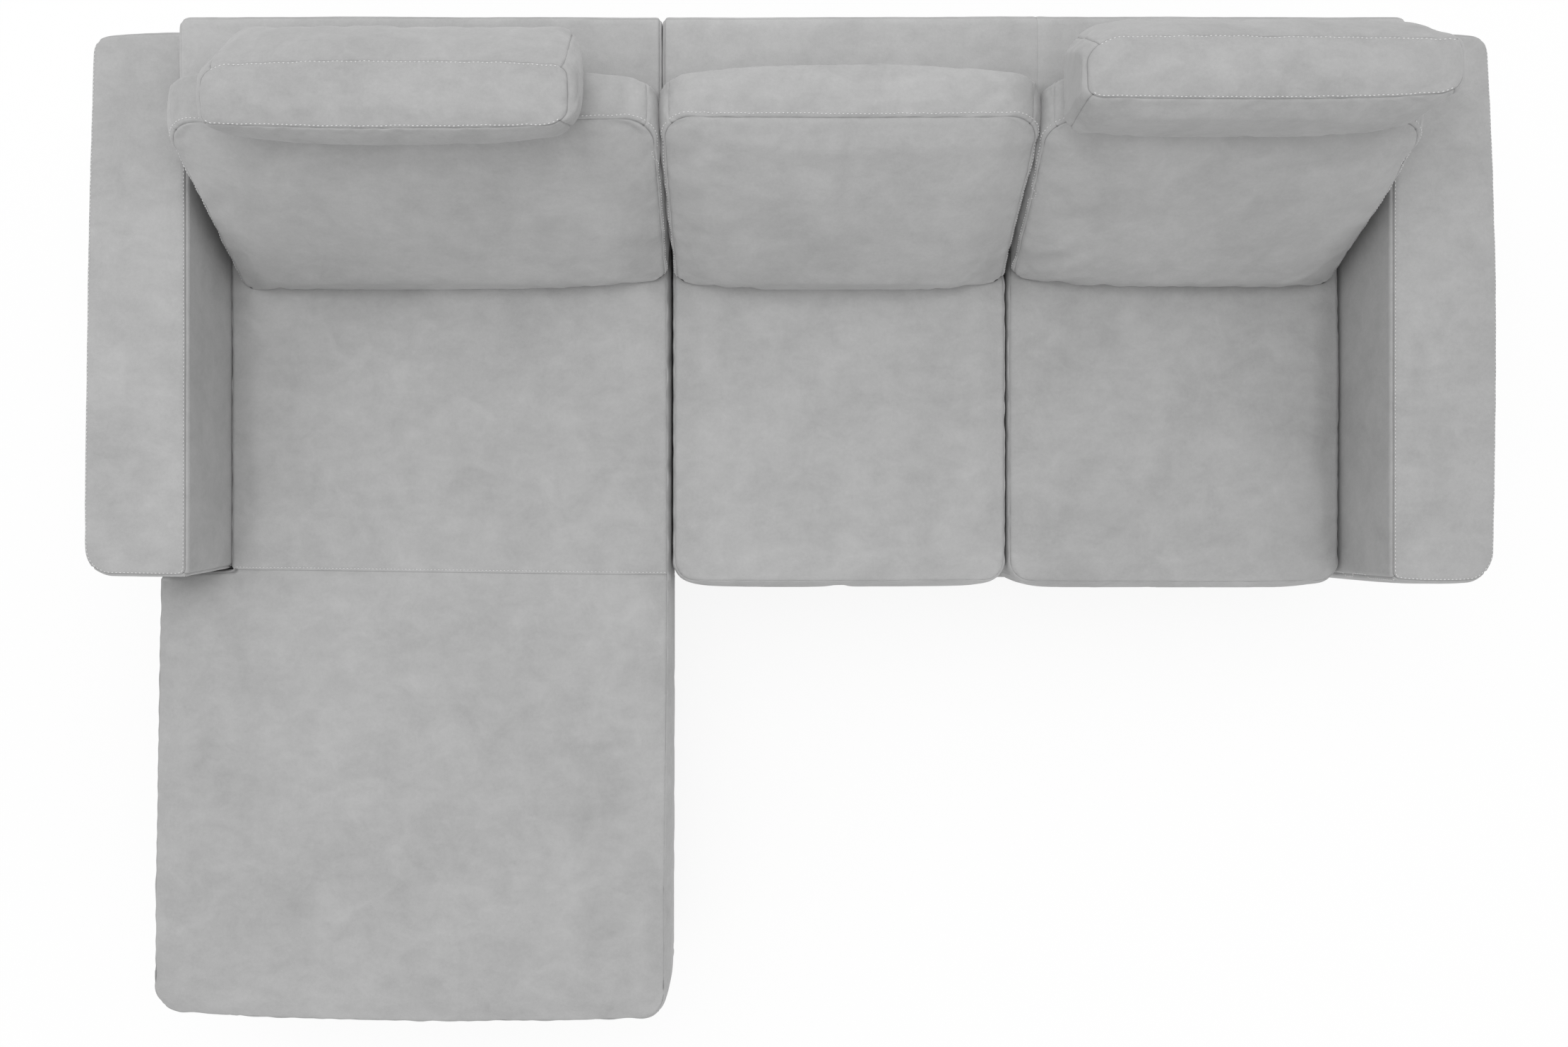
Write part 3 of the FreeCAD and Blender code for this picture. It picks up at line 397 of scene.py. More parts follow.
def rounded(flat, low, high, axes, corners, rims, notch):
    """Where points on a sharp block go when its outline's corners and the rims of both faces are rounded.

    Also how far each point shares in the swelling of its face: 0 at the outline, near 1 well inside it.
    """
    first, second, normal = axes
    walls = [[np.full(len(flat), edge[axis]) for edge in (low, high)] for axis in (first, second)]
    if notch is not None:
        walls[0][0] = np.where(flat[:, 1] > notch[1] + 1e-6, notch[0], low[0])
        walls[1][1] = np.where(flat[:, 0] < notch[0] - 1e-6, notch[1], high[1])
    plan = flat[:, [first, second]]
    ends = [(plan[:, axis] > (walls[axis][0] + walls[axis][1]) / 2).astype(int) for axis in (0, 1)]
    radius = np.array(corners)[ends[0], ends[1]]
    cores = [np.clip(plan[:, axis], walls[axis][0] + radius, walls[axis][1] - radius) for axis in (0, 1)]
    core = np.stack(cores, 1)
    out = plan - core
    inward = radius - np.abs(out).max(1)
    out /= np.maximum(np.linalg.norm(out, axis=1, keepdims=True), 1e-9)
    if notch is not None:
        away = plan - np.array(notch)
        span_to = np.linalg.norm(away, axis=1)
        inner = (away[:, 0] > -1e-6) & (away[:, 1] < 1e-6) & (span_to < max(rims))
        away[span_to < 1e-6] = (1e-6, -1e-6)
        away /= np.linalg.norm(away, axis=1, keepdims=True)
        core[inner] = np.array(notch) + away[inner] * radius[inner, None]
        out[inner] = -away[inner]
        inward[inner] = span_to[inner]
    upper = flat[:, normal] > (low[normal] + high[normal]) / 2
    rim = np.where(upper, rims[1], rims[0])
    depth = np.where(upper, high[normal] - flat[:, normal], flat[:, normal] - low[normal])
    lean = np.stack([np.maximum(inward, rim) - inward, np.maximum(depth, rim) - depth], 1)
    lean /= np.maximum(np.linalg.norm(lean, axis=1, keepdims=True), 1e-9)
    moved = flat.copy()
    pulled = np.maximum(inward, rim) - rim * lean[:, 0]
    sunk = np.maximum(depth, rim) - rim * lean[:, 1]
    moved[:, [first, second]] = core + out * (radius - pulled)[:, None]
    moved[:, normal] = np.where(upper, high[normal] - sunk, low[normal] + sunk)
    crown = np.ones(len(flat))
    for axis in (0, 1):
        for wall, side in zip(walls[axis], (1, -1)):
            crown *= 1 - np.exp(-np.maximum(side * (plan[:, axis] - wall), 0) / CROWN_REACH)
    if notch is not None:
        before = (plan[:, 0] > notch[0] - 1e-6) & (plan[:, 1] < notch[1] + 1e-6)
        crown *= np.where(before, 1 - np.exp(-span_to / CROWN_REACH), 1)
    return moved, crown


def fold(start, end, width, height, axes=(0, 2)):
    """A crease in the cloth between two places, given as shares of the panel, that wanders a little."""
    axes = list(axes)

    def lift(share, cover):
        size = (cover.high - cover.low)[axes]
        plan = share[:, axes] * size
        first, last = np.array(start) * size, np.array(end) * size
        along = last - first
        run = np.clip(((plan - first) @ along) / (along @ along), 0, 1)
        across = np.array([-along[1], along[0]]) / np.linalg.norm(along)
        wander = 4 * MM * np.sin(run * 7 + start[0] * 40) * np.sin(run * math.pi)
        away = (plan - first) @ across - wander
        beyond = np.linalg.norm(plan - first - run[:, None] * along, axis=1)
        fade = np.sin(np.clip(run, 0.02, 0.98) * math.pi) ** 0.7
        ridge = np.exp(-((away / width) ** 2)) - 0.6 * np.exp(-(((away - 1.7 * width) / width) ** 2))
        return np.where(beyond < 5 * width, height * ridge * fade, 0)

    return lift


class Cover:
    """A sewn cover: a closed mesh that knows each point's place on the sharp block it is rounded from."""

    def __init__(
        self, name, low, high, axis, corners, rims, step,
        swell=None, form=None, lines=((), (), ()), notch=None,
    ):
        self.name, self.notch, self.axis, self.rims, self.corners = name, notch, axis, rims, corners
        self.low, self.high = np.array(low, float), np.array(high, float)
        self.sides = {
            "left": (0, low[0]), "right": (0, high[0]), "front": (1, low[1]),
            "rear": (1, high[1]), "under": (2, low[2]), "top": (2, high[2]),
        }
        if notch is not None:
            self.sides.update({"arm_side": (0, notch[0]), "arm_end": (1, notch[1])})
        self.across = [other for other in range(3) if other != axis]
        ends = {axis: [gaps(rim) for rim in rims]}
        for other, table in zip(self.across, (np.array(corners), np.array(corners).T)):
            ends[other] = [gaps(max(rims), table[end].max()) for end in (0, 1)]
        tables = [stations(low[axis], high[axis], ends[axis], step, lines[axis]) for axis in range(3)]
        mesh = block_mesh(name, tables, notch)
        flat = read(mesh.vertices)
        block = mesh.attributes.new("block", "FLOAT_VECTOR", "POINT")
        block.data.foreach_set("vector", flat.astype(np.float32).ravel())
        places, crown = rounded(flat, self.low, self.high, [*self.across, axis], corners, rims, notch)
        places = self.swollen(places, flat, crown, swell or {})
        write(mesh, form(places) if form else places)
        self.flat = flat
        self.obj = bpy.data.objects.new(name, mesh)
        collection.objects.link(self.obj)
        self.rows = []

    def swollen(self, places, flat, crown, swell):
        """Pushes the middle of each named side out by its amount."""
        size = self.high - self.low
        share = np.clip((flat - self.low) / size, 0, 1)
        bow = 1 - (2 * share - 1) ** 2
        if self.notch is not None:
            reach = np.clip((flat[:, 1] - self.low[1]) / (self.notch[1] - self.low[1]), 0, 1)
        for side, amount in swell.items():
            axis, value = self.sides[side]
            outward = 1 if value == self.high[axis] else -1
            near = share[:, axis] if outward > 0 else 1 - share[:, axis]
            along, up = [bow[:, other] for other in range(3) if other != axis]
            if self.notch is not None and side == "left":
                along = 1 - (2 * reach - 1) ** 2
            if axis == self.axis:
                push = 0.55 * crown + 0.45 * np.sqrt(along * up)
            else:
                push = along * (0.35 + 0.65 * up)
            places[:, axis] += outward * amount * near * push
        return places

    def on(self, side):
        axis, value = self.sides[side]
        mask = np.abs(self.flat[:, axis] - value) < 0.01 * MM
        if side == "arm_side":
            mask &= self.flat[:, 1] > self.notch[1] - 0.01 * MM
        if side == "arm_end":
            mask &= self.flat[:, 0] < self.notch[0] + 0.01 * MM
        return mask

    def edge_radius(self, first, second):
        """The radius of the edge between two panels: of a rim, or of a corner of the outline."""
        by_axis = {self.sides[side][0]: int(side in FAR_SIDES) for side in (first, second)}
        if self.axis in by_axis:
            return self.rims[by_axis[self.axis]]
        return self.corners[by_axis[self.across[0]]][by_axis[self.across[1]]]

    def from_seam(self, first, second):
        """How far each point of two panels lies from the seam between them."""
        reach = np.full(len(self.flat), np.inf)
        edge = self.edge_radius(first, second)
        for panel, other in ((first, second), (second, first)):
            mask = self.on(panel)
            axis, value = self.sides[other]
            away = np.abs(self.flat[:, axis] - value)
            if other == "arm_side":
                mask &= self.flat[:, 0] > self.notch[0] - 0.01 * MM
                away = np.hypot(away, np.maximum(self.notch[1] - self.flat[:, 1], 0))
            if other == "arm_end":
                mask &= self.flat[:, 1] < self.notch[1] + 0.01 * MM
                away = np.hypot(away, np.maximum(self.flat[:, 0] - self.notch[0], 0))
            away = away[mask]
            turned = edge * (math.pi / 4 - np.arctan(1 - np.minimum(away, edge) / edge))
            reach[mask] = turned + np.maximum(away - edge, 0)
        return reach

    def press(self, held, looseness):
        """Hangs cloth physics on the cover, with these panels and every seam held."""
        seams = sum(self.on(side).astype(int) for side in self.sides) > 1
        fixed = seams.copy()
        for side in held:
            fixed |= self.on(side)
        group = self.obj.vertex_groups.new(name="held")
        group.add(np.nonzero(fixed)[0].tolist(), 1.0, "REPLACE")
        cloth = self.obj.modifiers.new("Cloth", "CLOTH")
        cloth.point_cache.frame_end = CLOTH_FRAMES
        settings = cloth.settings
        settings.quality = 6
        settings.mass = 0.12
        settings.tension_stiffness = settings.compression_stiffness = 16
        settings.shear_stiffness = 6
        settings.bending_stiffness = 0.6
        settings.shrink_min = -looseness
        settings.use_pressure = True
        settings.uniform_pressure_force = 4
        settings.effector_weights.gravity = 0
        settings.vertex_group_mass = "held"
        cloth.collision_settings.use_collision = False

    def settle(self, cap):
        """Takes the shape that the pressed cloth has come to, each point moved by at most the cap."""
        graph = bpy.context.evaluated_depsgraph_get()
        pressed = read(self.obj.evaluated_get(graph).data.vertices)
        start = read(self.obj.data.vertices)
        move = pressed - start
        far = np.linalg.norm(move, axis=1, keepdims=True)
        move *= np.minimum(1, cap / np.maximum(far, 1e-9))
        self.obj.modifiers.clear()
        self.obj.vertex_groups.clear()
        write(self.obj.data, start + move)

    def refine(self, wrinkle):
        """Ruffles the cloth and divides every quad once more, smoothly."""
        mesh = self.obj.data
        start, normals = read(mesh.vertices), read(mesh.vertices, "normal")
        ruffle = np.array([
            1.9 * noise.noise(Vector(point) * 6.0) + 0.8 * noise.noise(Vector(point) * 15.0)
            + 0.35 * noise.noise(Vector(point) * 33.0)
            for point in start
        ])
        self.filling = mesh.copy()
        write(self.filling, start - normals * FILLING_INSET)
        write(mesh, start + normals * (wrinkle * MM * ruffle)[:, None])
        divide = self.obj.modifiers.new("Divide", "SUBSURF")
        divide.levels = divide.render_levels = 1
        mesh = baked(self.obj)
        mesh.name = self.name
        self.obj.modifiers.clear()
        self.obj.data = mesh
        self.flat = read(mesh.attributes["block"].data, "vector")
        mesh.attributes.remove(mesh.attributes["block"])

    def fill(self):
        """Puts foam inside a cushion's cover, no larger than its core in the frame."""
        node = f"{self.name}_core"
        low, high = span(node)
        write(self.filling, np.clip(read(self.filling.vertices), low, high))
        smooth(self.filling)
        obj = placed(f"{self.name}_foam", self.filling, FINISHES["foam"], self.name, [node])

    def tailor(self, seams, pucker=1.0, creases=(), keep=None):
        """Sinks the seams, raises the edges sewn down beside them, puckers and creases the cloth."""
        mesh = self.obj.data
        start, normals = read(mesh.vertices), read(mesh.vertices, "normal")
        lift = np.zeros(len(start))
        nearest = np.full(len(start), SEAM_REACH)
        for number, seam in enumerate(seams):
            reach, run, sewn = self.measured(seam)
            faint = seam.get("faint", 0)
            nearest = np.minimum(nearest, reach + faint)
            depth = GROOVE_DEPTH * (0.45 if faint else 1)
            lift -= depth * np.exp(-((reach / GROOVE_WIDTH) ** 2))
            for mask, offset in sewn:
                width = offset + 2 * MM
                ridge = np.clip(reach / FOLD_REACH, 0, 1) * np.clip((width - reach) / FOLD_REACH, 0, 1)
                lift += np.where(mask, RIDGE * ridge, 0)
            lift += ROLL_HEIGHT * np.exp(-(((reach - ROLL_AWAY) / ROLL_WIDTH) ** 2))
            waves = np.zeros(len(start))
            for index in np.nonzero(reach < PUCKER_REACH)[0]:
                waves[index] = noise.noise(Vector((run[index] * 46, number * 7.7, reach[index] * 12)))
            shape = np.exp(-reach / PUCKER_FADE) * np.clip(reach / (4 * MM), 0, 1)
            lift += np.where(reach < PUCKER_REACH, pucker * PUCKER_HEIGHT * waves * shape, 0)
        share = (self.flat - self.low) / (self.high - self.low)
        for panel, crease in creases:
            lift += np.where(self.on(panel), crease(share, self), 0)
        places = start + normals * lift[:, None]
        if keep is not None:
            places = keep(places)
        write(mesh, places)
        # Painted shade: how near each point lies to a seam, so the finish can darken a thin line there
        close = 1 - np.minimum(nearest, SEAM_REACH) / SEAM_REACH
        seam_shade = mesh.attributes.new("seam", "FLOAT", "POINT")
        seam_shade.data.foreach_set("value", close.astype(np.float32))
        smooth(mesh)
        self.plan_rows(seams, start, normals)

    def measured(self, seam):
        """How far each point lies from a seam, where along it, and the sides sewn down with their offsets."""
        if "line" in seam:
            axis, value = seam["line"]
            across = self.flat[:, axis] - value
            mask = np.zeros(len(across), bool)
            for panel in seam["panels"]:
                mask |= self.on(panel)
            if "within" in seam:
                other, start, end = seam["within"]
                mask &= (self.flat[:, other] > start) & (self.flat[:, other] < end)
            reach = np.where(mask, np.abs(across), np.inf)
            run = self.flat[:, 1 - axis]
            return reach, run, [(across * side > 0, offset) for side, offset in seam.get("rows", ())]
        first, second = seam["between"]
        reach = self.from_seam(first, second)
        axes = {self.sides[first][0], self.sides[second][0]}
        run = self.flat[:, ({0, 1, 2} - axes).pop()]
        return reach, run, [(self.on(panel), offset) for panel, offset in seam.get("rows", ())]

    def plan_rows(self, seams, start, normals):
        """Notes the paths of the stitch rows: each a list of points beside a seam."""
        for seam in seams:
            if "rows" not in seam:
                continue
            reach, run, sewn = self.measured(seam)
            line = np.nonzero(reach < 0.05 * MM)[0]
            line = line[np.argsort(run[line])]
            points, faces = start[line], normals[line]
            along = np.gradient(points, axis=0)
            along /= np.maximum(np.linalg.norm(along, axis=1, keepdims=True), 1e-9)
            inward = np.cross(faces, along)
            inward /= np.maximum(np.linalg.norm(inward, axis=1, keepdims=True), 1e-9)
            for (mask, offset), (panel, _) in zip(sewn, seam["rows"]):
                towards = start[mask & np.isfinite(reach)].mean(0) - points
                if "between" in seam and self.sides[panel][0] != self.axis:
                    face = next(side for side in seam["between"] if side != panel)
                    towards = (1 if face not in FAR_SIDES else -1) * (np.arange(3) == self.axis)[None]
                sign = np.where((towards * inward).sum(1) > 0, 1.0, -1.0)
                self.rows.append(points + inward * (sign * offset)[:, None])

    def dress(self, body, nodes, fill):
        """Puts the finished cover into the sofa with its stitching."""
        mesh, obj = self.obj.data, self.obj
        mesh.materials.clear()
        # Covers with painted light or painted shade take the lighter or darker copy of the cloth
        mesh.materials.append(PAINTED_LIGHT_AND_SHADE_COVERS.get(self.name, UPHOLSTERY))
        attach(obj, body)
        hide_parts(*nodes)
        if self.rows:
            sew(f"{self.name}_stitching", self.rows, obj, body)
        return obj


def sew(name, rows, cloth, body):
    """Lays short stitches along rows of points on a piece of cloth."""
    tree = BVHTree.FromObject(cloth, bpy.context.evaluated_depsgraph_get())
    bm = bmesh.new()
    bmesh.ops.create_icosphere(bm, subdivisions=1, radius=1)
    stitch = meshed(bm, name)
    shape = read(stitch.vertices)
    faces = np.array([face.vertices for face in stitch.polygons])
    bpy.data.meshes.remove(stitch)
    laid = []
    for row in rows:
        travelled = np.concatenate([[0], np.cumsum(np.linalg.norm(np.diff(row, axis=0), axis=1))])
        for index in range(int(travelled[-1] / PITCH)):
            ends = []
            for place in ((index + 0.2) * PITCH, (index + 0.84) * PITCH):
                point = Vector([float(np.interp(place, travelled, row[:, axis])) for axis in range(3)])
                ends.append(tree.find_nearest(point)[:2])
            (first, face), (last, _) = ends
            along = last - first
            turn = np.array(along.to_track_quat("Z", "X").to_matrix())
            middle = np.array((first + last) / 2 + face * 0.3 * MM)
            laid.append(shape * (THREAD_RADIUS, THREAD_RADIUS, along.length / 2) @ turn.T + middle)
    count = np.arange(len(laid))[:, None, None] * len(shape)
    mesh = bpy.data.meshes.new(name)
    mesh.from_pydata(np.concatenate(laid), [], (faces[None] + count).reshape(-1, 3))
    smooth(mesh)
    return placed(name, mesh, THREAD, body)


# Places read from the frame


def span(node):
    low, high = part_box(node)
    return np.array(low), np.array(high)


REAR = span("left_arm_cover")[1][1]
BACK_TOP = span("left_back_cover")[1][2]
BACK_TOP_DEPTH = 155 * MM
BACK_LEAN = 0.2
FIT = 0.5 * MM
CLOTH_FRAMES = 20
TOPSTITCH = 4.5 * MM
WIDE_TOPSTITCH = 7.5 * MM


def back_face(height):
    """Where the leaning front face of the backs lies at a height."""
    return REAR - BACK_TOP_DEPTH - BACK_LEAN * (BACK_TOP - height)


# Seat cushions

SEAT_RIMS = (14 * MM, 17 * MM)
SEAT_CROWN = 8 * MM
SEAT_SINK = 12 * MM
SEAT_SETBACK = 11 * MM


def seat_cushion(name, swell, corners, step=15 * MM, set_back=0.0, **more):
    low, high = span(f"{name}_cover")
    low, high = low + [0, set_back, 0], high - [0, 0, SEAT_SINK]
    return Cover(name, low, high, 2, corners, SEAT_RIMS, step, {**swell, "top": SEAT_CROWN}, **more)


ARM_INSET = 10 * MM
CORNER = (span("left_arm_cover")[1][0] - ARM_INSET - 2 * MM, span("left_arm_cover")[0][1] + 7 * MM)
chaise_lines = (
    [CORNER[0] + gap for gap in gaps(SEAT_RIMS[1])],
    [CORNER[1] - gap for gap in reversed(gaps(SEAT_RIMS[1]))] + [CORNER[1] + 4 * MM, CORNER[1] + 9 * MM],
    (),
)
chaise_low, chaise_high = span("chaise_cushion_cover")

# The chaise's front reaches furthest at this share of its width and is drawn back at both corners.
# Its sides taper, and its cross seam runs aslant from the arm to the right side.
MOST_FORWARD = 0.55
FRONT_REACH = 250 * MM
FRONT_DRAWN_BACK = (19 * MM, 6 * MM)
LEFT_TAPER = 14 * MM
RIGHT_TAPER_REAR, RIGHT_TAPER_FRONT = 3 * MM, 6 * MM
SLANT = (8 * MM, -4 * MM)
SLANT_FADES_OVER = 120 * MM
SLANT_REACH = 150 * MM


def chaise_form(places):
    """Draws the front back towards both corners, tapers the sides a little and sets the cross seam aslant."""
    share = np.clip((places[:, 0] - chaise_low[0]) / (chaise_high[0] - chaise_low[0]), 0, 1)
    ahead = np.clip(1 - (places[:, 1] - chaise_low[1]) / FRONT_REACH, 0, 1)
    along = np.clip((places[:, 1] - chaise_low[1]) / (CORNER[1] - chaise_low[1]), 0, 1)
    beside_arm = places[:, 1] > CORNER[1] + 1 * MM
    drawn = FRONT_DRAWN_BACK[0] * np.maximum(1 - share / MOST_FORWARD, 0) ** 1.6
    drawn += FRONT_DRAWN_BACK[1] * np.maximum((share - MOST_FORWARD) / (1 - MOST_FORWARD), 0) ** 2
    moved = places.copy()
    moved[:, 1] += drawn * ahead
    moved[:, 0] += np.where(beside_arm, 0, LEFT_TAPER * along**1.2 * (1 - share) ** 3)
    moved[:, 0] -= (RIGHT_TAPER_REAR + RIGHT_TAPER_FRONT * (1 - along)) * share**2
    past = places[:, 0] - CORNER[0]
    fading = SLANT[0] * np.clip(1 + past / SLANT_FADES_OVER, 0, 1)
    slant = SLANT[0] + (SLANT[1] - SLANT[0]) * np.clip(past / (chaise_high[0] - CORNER[0]), 0, 1)
    near = np.exp(-(((places[:, 1] - CORNER[1]) / SLANT_REACH) ** 2))
    moved[:, 1] += np.where(past < 0, fading, slant) * near
    return moved


chaise = seat_cushion(
    "chaise_cushion",
    {"front": 5 * MM, "left": 2 * MM, "right": 3 * MM},
    ((60 * MM, 17 * MM), (50 * MM, 20 * MM)),
    step=18 * MM,
    form=chaise_form,
    notch=CORNER,
    lines=chaise_lines,
)
middle_low, middle_high = span("middle_seat_cushion_cover")

# From here back the seat cushions lie under the back cushions
BEHIND = 0.50
BEHIND_FADES_OVER = 70 * MM
DRAWN_IN_BEHIND = 13 * MM


def middle_form(places):
    """Draws the right side in behind, so that the cushion lifts past the back cushion beside it."""
    share = np.clip((places[:, 0] - middle_low[0]) / (middle_high[0] - middle_low[0]), 0, 1)
    behind = np.clip((places[:, 1] - BEHIND) / BEHIND_FADES_OVER, 0, 1)
    moved = places.copy()
    moved[:, 0] -= DRAWN_IN_BEHIND * behind**2 * (3 - 2 * behind) * share**3
    return moved


SEAT_CORNERS = ((44 * MM, 20 * MM), (44 * MM, 20 * MM))
middle_swell = {"front": 5 * MM, "left": 2 * MM, "right": 2 * MM}
right_swell = {"front": 11 * MM, "left": 2 * MM, "right": 2 * MM}
behind_front = {"corners": SEAT_CORNERS, "set_back": SEAT_SETBACK}
middle_seat = seat_cushion("middle_seat_cushion", middle_swell, form=middle_form, **behind_front)
right_seat = seat_cushion("right_seat_cushion", right_swell, **behind_front)
seats = (chaise, middle_seat, right_seat)

# Back cushions: wedges that lean on the backs

BACK_CUSHION_FOOT = {"left": 230 * MM, "middle": 230 * MM, "right": 222 * MM}
BACK_CUSHION_HEAD = 94 * MM
OVERHANG = {"left": 4 * MM, "middle": 9 * MM, "right": 4 * MM}
HEAD_CORNER = 54 * MM
SINK = 14 * MM
BULGE_RISE = 45 * MM
BACK_CUSHION_REAR_BOW = 18 * MM
BACK_CUSHION_RIMS = (17 * MM, 22 * MM)
BACK_CUSHION_SWELL = {"front": 23 * MM, "left": 7 * MM, "right": 7 * MM, "top": 15 * MM}

# At the left and the right end of each cushion
FOOT_CORNERS = {"left": (22 * MM, 24 * MM), "middle": (22 * MM, 22 * MM), "right": (24 * MM, 22 * MM)}
FOOT_SETBACK = {"left": (-8 * MM, 4 * MM), "middle": (4 * MM, 6 * MM), "right": (4 * MM, 0)}
FLARE = {"left": (-8 * MM, 3 * MM), "middle": (3 * MM, -7 * MM), "right": (15 * MM, 3 * MM)}
FRONT_BOW = {"left": (4 * MM, 24 * MM), "middle": (20 * MM, 20 * MM), "right": (20 * MM, 4 * MM)}

# How far a cushion may stand out past its place on the left
SIDE_ROOM = {"left": 10 * MM, "middle": 3 * MM, "right": 13 * MM}


def back_of_cushion(side, height):
    """Where the rear of a back cushion lies: on the back, and above it bulging over it."""
    above = np.clip((height - BACK_TOP) / BULGE_RISE, 0, 1)
    return back_face(height) - FIT + OVERHANG[side] * above


def leaning(low, high, foot, head, rear_at, rear_bow=0.0, front_bow=(0.0, 0.0), flare=(0.0, 0.0)):
    """A form whose depth goes from foot to head, behind a rear face that rear_at gives for each height.

    The bows draw both faces in towards their ends, and the flare widens the head at its left and right.
    """

    def form(places):
        share = np.clip((places[:, 2] - low[2]) / (high[2] - low[2]), -0.1, 1.1)
        depth = foot + (head - foot) * share
        ahead = (high[1] - places[:, 1]) / (high[1] - low[1])
        ends = np.abs(2 * (places[:, 0] - low[0]) / (high[0] - low[0]) - 1)
        moved = places.copy()
        moved[:, 1] = rear_at(places[:, 2]) - ahead * depth
        moved[:, 1] -= rear_bow * ends**2.5 * np.clip(share * 2 - 1, 0, 1) * np.clip(1 - ahead, 0, 1)
        across = np.clip((places[:, 0] - low[0]) / (high[0] - low[0]), 0, 1)
        bow = np.where(across < 0.5, *front_bow)
        moved[:, 1] += bow * ends**2.5 * np.clip(ahead, 0, 1) * (1 - 0.6 * np.clip(share, 0, 1))
        moved[:, 0] += np.clip(share, 0, 1) * (flare[1] * across**2 - flare[0] * (1 - across) ** 2)
        return moved

    return form


def back_cushion(side):
    name = f"{side}_back_cushion"
    low, high = span(f"{name}_cover")
    foot = BACK_CUSHION_FOOT[side]
    low[1], high[1] = 0.0, (foot + BACK_CUSHION_HEAD) / 2
    corners = [(foot_corner, HEAD_CORNER) for foot_corner in FOOT_CORNERS[side]]
    left_in, right_in = FOOT_SETBACK[side]
    low, high = low + [left_in, 0, -SINK], high - [right_in, 0, 13 * MM]
    rear_at = partial(back_of_cushion, side)
    bows = (BACK_CUSHION_REAR_BOW, FRONT_BOW[side])
    form = leaning(low, high, foot, BACK_CUSHION_HEAD, rear_at, *bows, FLARE[side])
    return Cover(name, low, high, 1, corners, BACK_CUSHION_RIMS, 13 * MM, BACK_CUSHION_SWELL, form)


back_cushions = {side: back_cushion(side) for side in ("left", "middle", "right")}

# Head cushions: smaller wedges on the outer back cushions

HEAD_CUSHION_RIMS = (22 * MM, 25 * MM)
HEAD_CUSHION_SWELL = {"front": 9 * MM, "rear": 6 * MM, "left": 9 * MM, "right": 9 * MM, "top": 9 * MM}


def head_cushion(side, reach, rake, foot, head, corners, ends, bow):
    """A wedge whose front stands forward of the backs by its reach and leans by its rake."""
    name = f"{side}_head_cushion"
    low, high = span(f"{name}_cover")
    carrier_top = span(f"{side}_back_cushion_cover")[1][2]
    front_foot = back_face(carrier_top) - FIT - reach
    front_head = front_foot + rake
    low[1], high[1] = 0.0, (foot + head) / 2
    low, high = low + [ends[0], 0, 0], high - [ends[1], 0, 9 * MM]

    def rear_at(height):
        share = (height - low[2]) / (high[2] - low[2])
        return front_foot + (front_head - front_foot) * share + foot + (head - foot) * share

    form = leaning(low, high, foot, head, rear_at, 5 * MM, bow)
    return Cover(name, low, high, 2, corners, HEAD_CUSHION_RIMS, 10 * MM, HEAD_CUSHION_SWELL, form)


head_cushions = {
    "left": head_cushion(
        "left",
        reach=126 * MM,
        rake=-18 * MM,
        foot=193 * MM,
        head=107 * MM,
        corners=((26 * MM, 52 * MM), (40 * MM, 34 * MM)),
        ends=(4 * MM, 11 * MM),
        bow=(9 * MM, 8 * MM),
    ),
    "right": head_cushion(
        "right",
        reach=128 * MM,
        rake=22 * MM,
        foot=192 * MM,
        head=100 * MM,
        corners=((26 * MM, 62 * MM), (42 * MM, 26 * MM)),
        ends=(-2 * MM, 14 * MM),
        bow=(7 * MM, 26 * MM),
    ),
}

# Cloth under pressure

# Covers with the panels that hold still, how loose the cloth is, and how far a point may move
PRESSED = [(cover, ("under",), 0.008, 7 * MM) for cover in seats]
PRESSED += [(cover, ("under", "rear"), 0.012, 10 * MM) for cover in back_cushions.values()]
PRESSED += [(cover, ("under",), 0.012, 6 * MM) for cover in head_cushions.values()]
for cover, held, looseness, _ in PRESSED:
    cover.press(held, looseness)
for number in range(1, CLOTH_FRAMES + 1):
    bpy.context.scene.frame_set(number)
for cover, _, _, cap in PRESSED:
    cover.settle(cap)
bpy.context.scene.frame_set(1)


def inside(low, high, rear=None):
    """Keeps a cover inside a box, and before a rear face where one is given."""

    def keep(places):
        places = np.clip(places, low, high)
        if rear is not None:
            places[:, 1] = np.minimum(places[:, 1], rear(places[:, 2]))
        return places

    return keep


for cover in seats:
    cover.refine(wrinkle=0.9)
    low, high = span(f"{cover.name}_cover")
    seams = [{"between": (face, side)} for face in ("top", "under") for side in ("front", "left", "right")]
    seams += [{"between": ("top", "rear")}]
    if cover is chaise:
        seams += [{"between": ("top", "arm_side")}, {"between": ("top", "arm_end")}]
        cross = {"line": (1, CORNER[1]), "panels": ("top", "right"), "within": (0, CORNER[0], high[0])}
        seams.append({**cross, "rows": ((1, TOPSTITCH),)})
    cover.tailor(seams, pucker=0.7, keep=inside(low, high))
    cover.dress(cover.name, [f"{cover.name}_cover"], 0.8)

BACK_FOLDS = {
    "left": [
        ("front", fold((0.06, 0.10), (0.20, 0.34), 7 * MM, 1.8 * MM)),
    ],
    "middle": [
        ("front", fold((0.05, 0.12), (0.16, 0.36), 8 * MM, 1.5 * MM)),
        ("front", fold((0.84, 0.10), (0.95, 0.30), 8 * MM, 1.6 * MM)),
        ("front", fold((0.10, 0.86), (0.22, 0.74), 8 * MM, 1.3 * MM)),
    ],
    "right": [
        ("front", fold((0.03, 0.22), (0.17, 0.46), 7 * MM, 2.2 * MM)),
        ("front", fold((0.05, 0.12), (0.23, 0.36), 8 * MM, 1.8 * MM)),
        ("front", fold((0.10, 0.08), (0.27, 0.22), 8 * MM, 1.6 * MM)),
        ("front", fold((0.80, 0.10), (0.92, 0.26), 8 * MM, 1.6 * MM)),
    ],
}
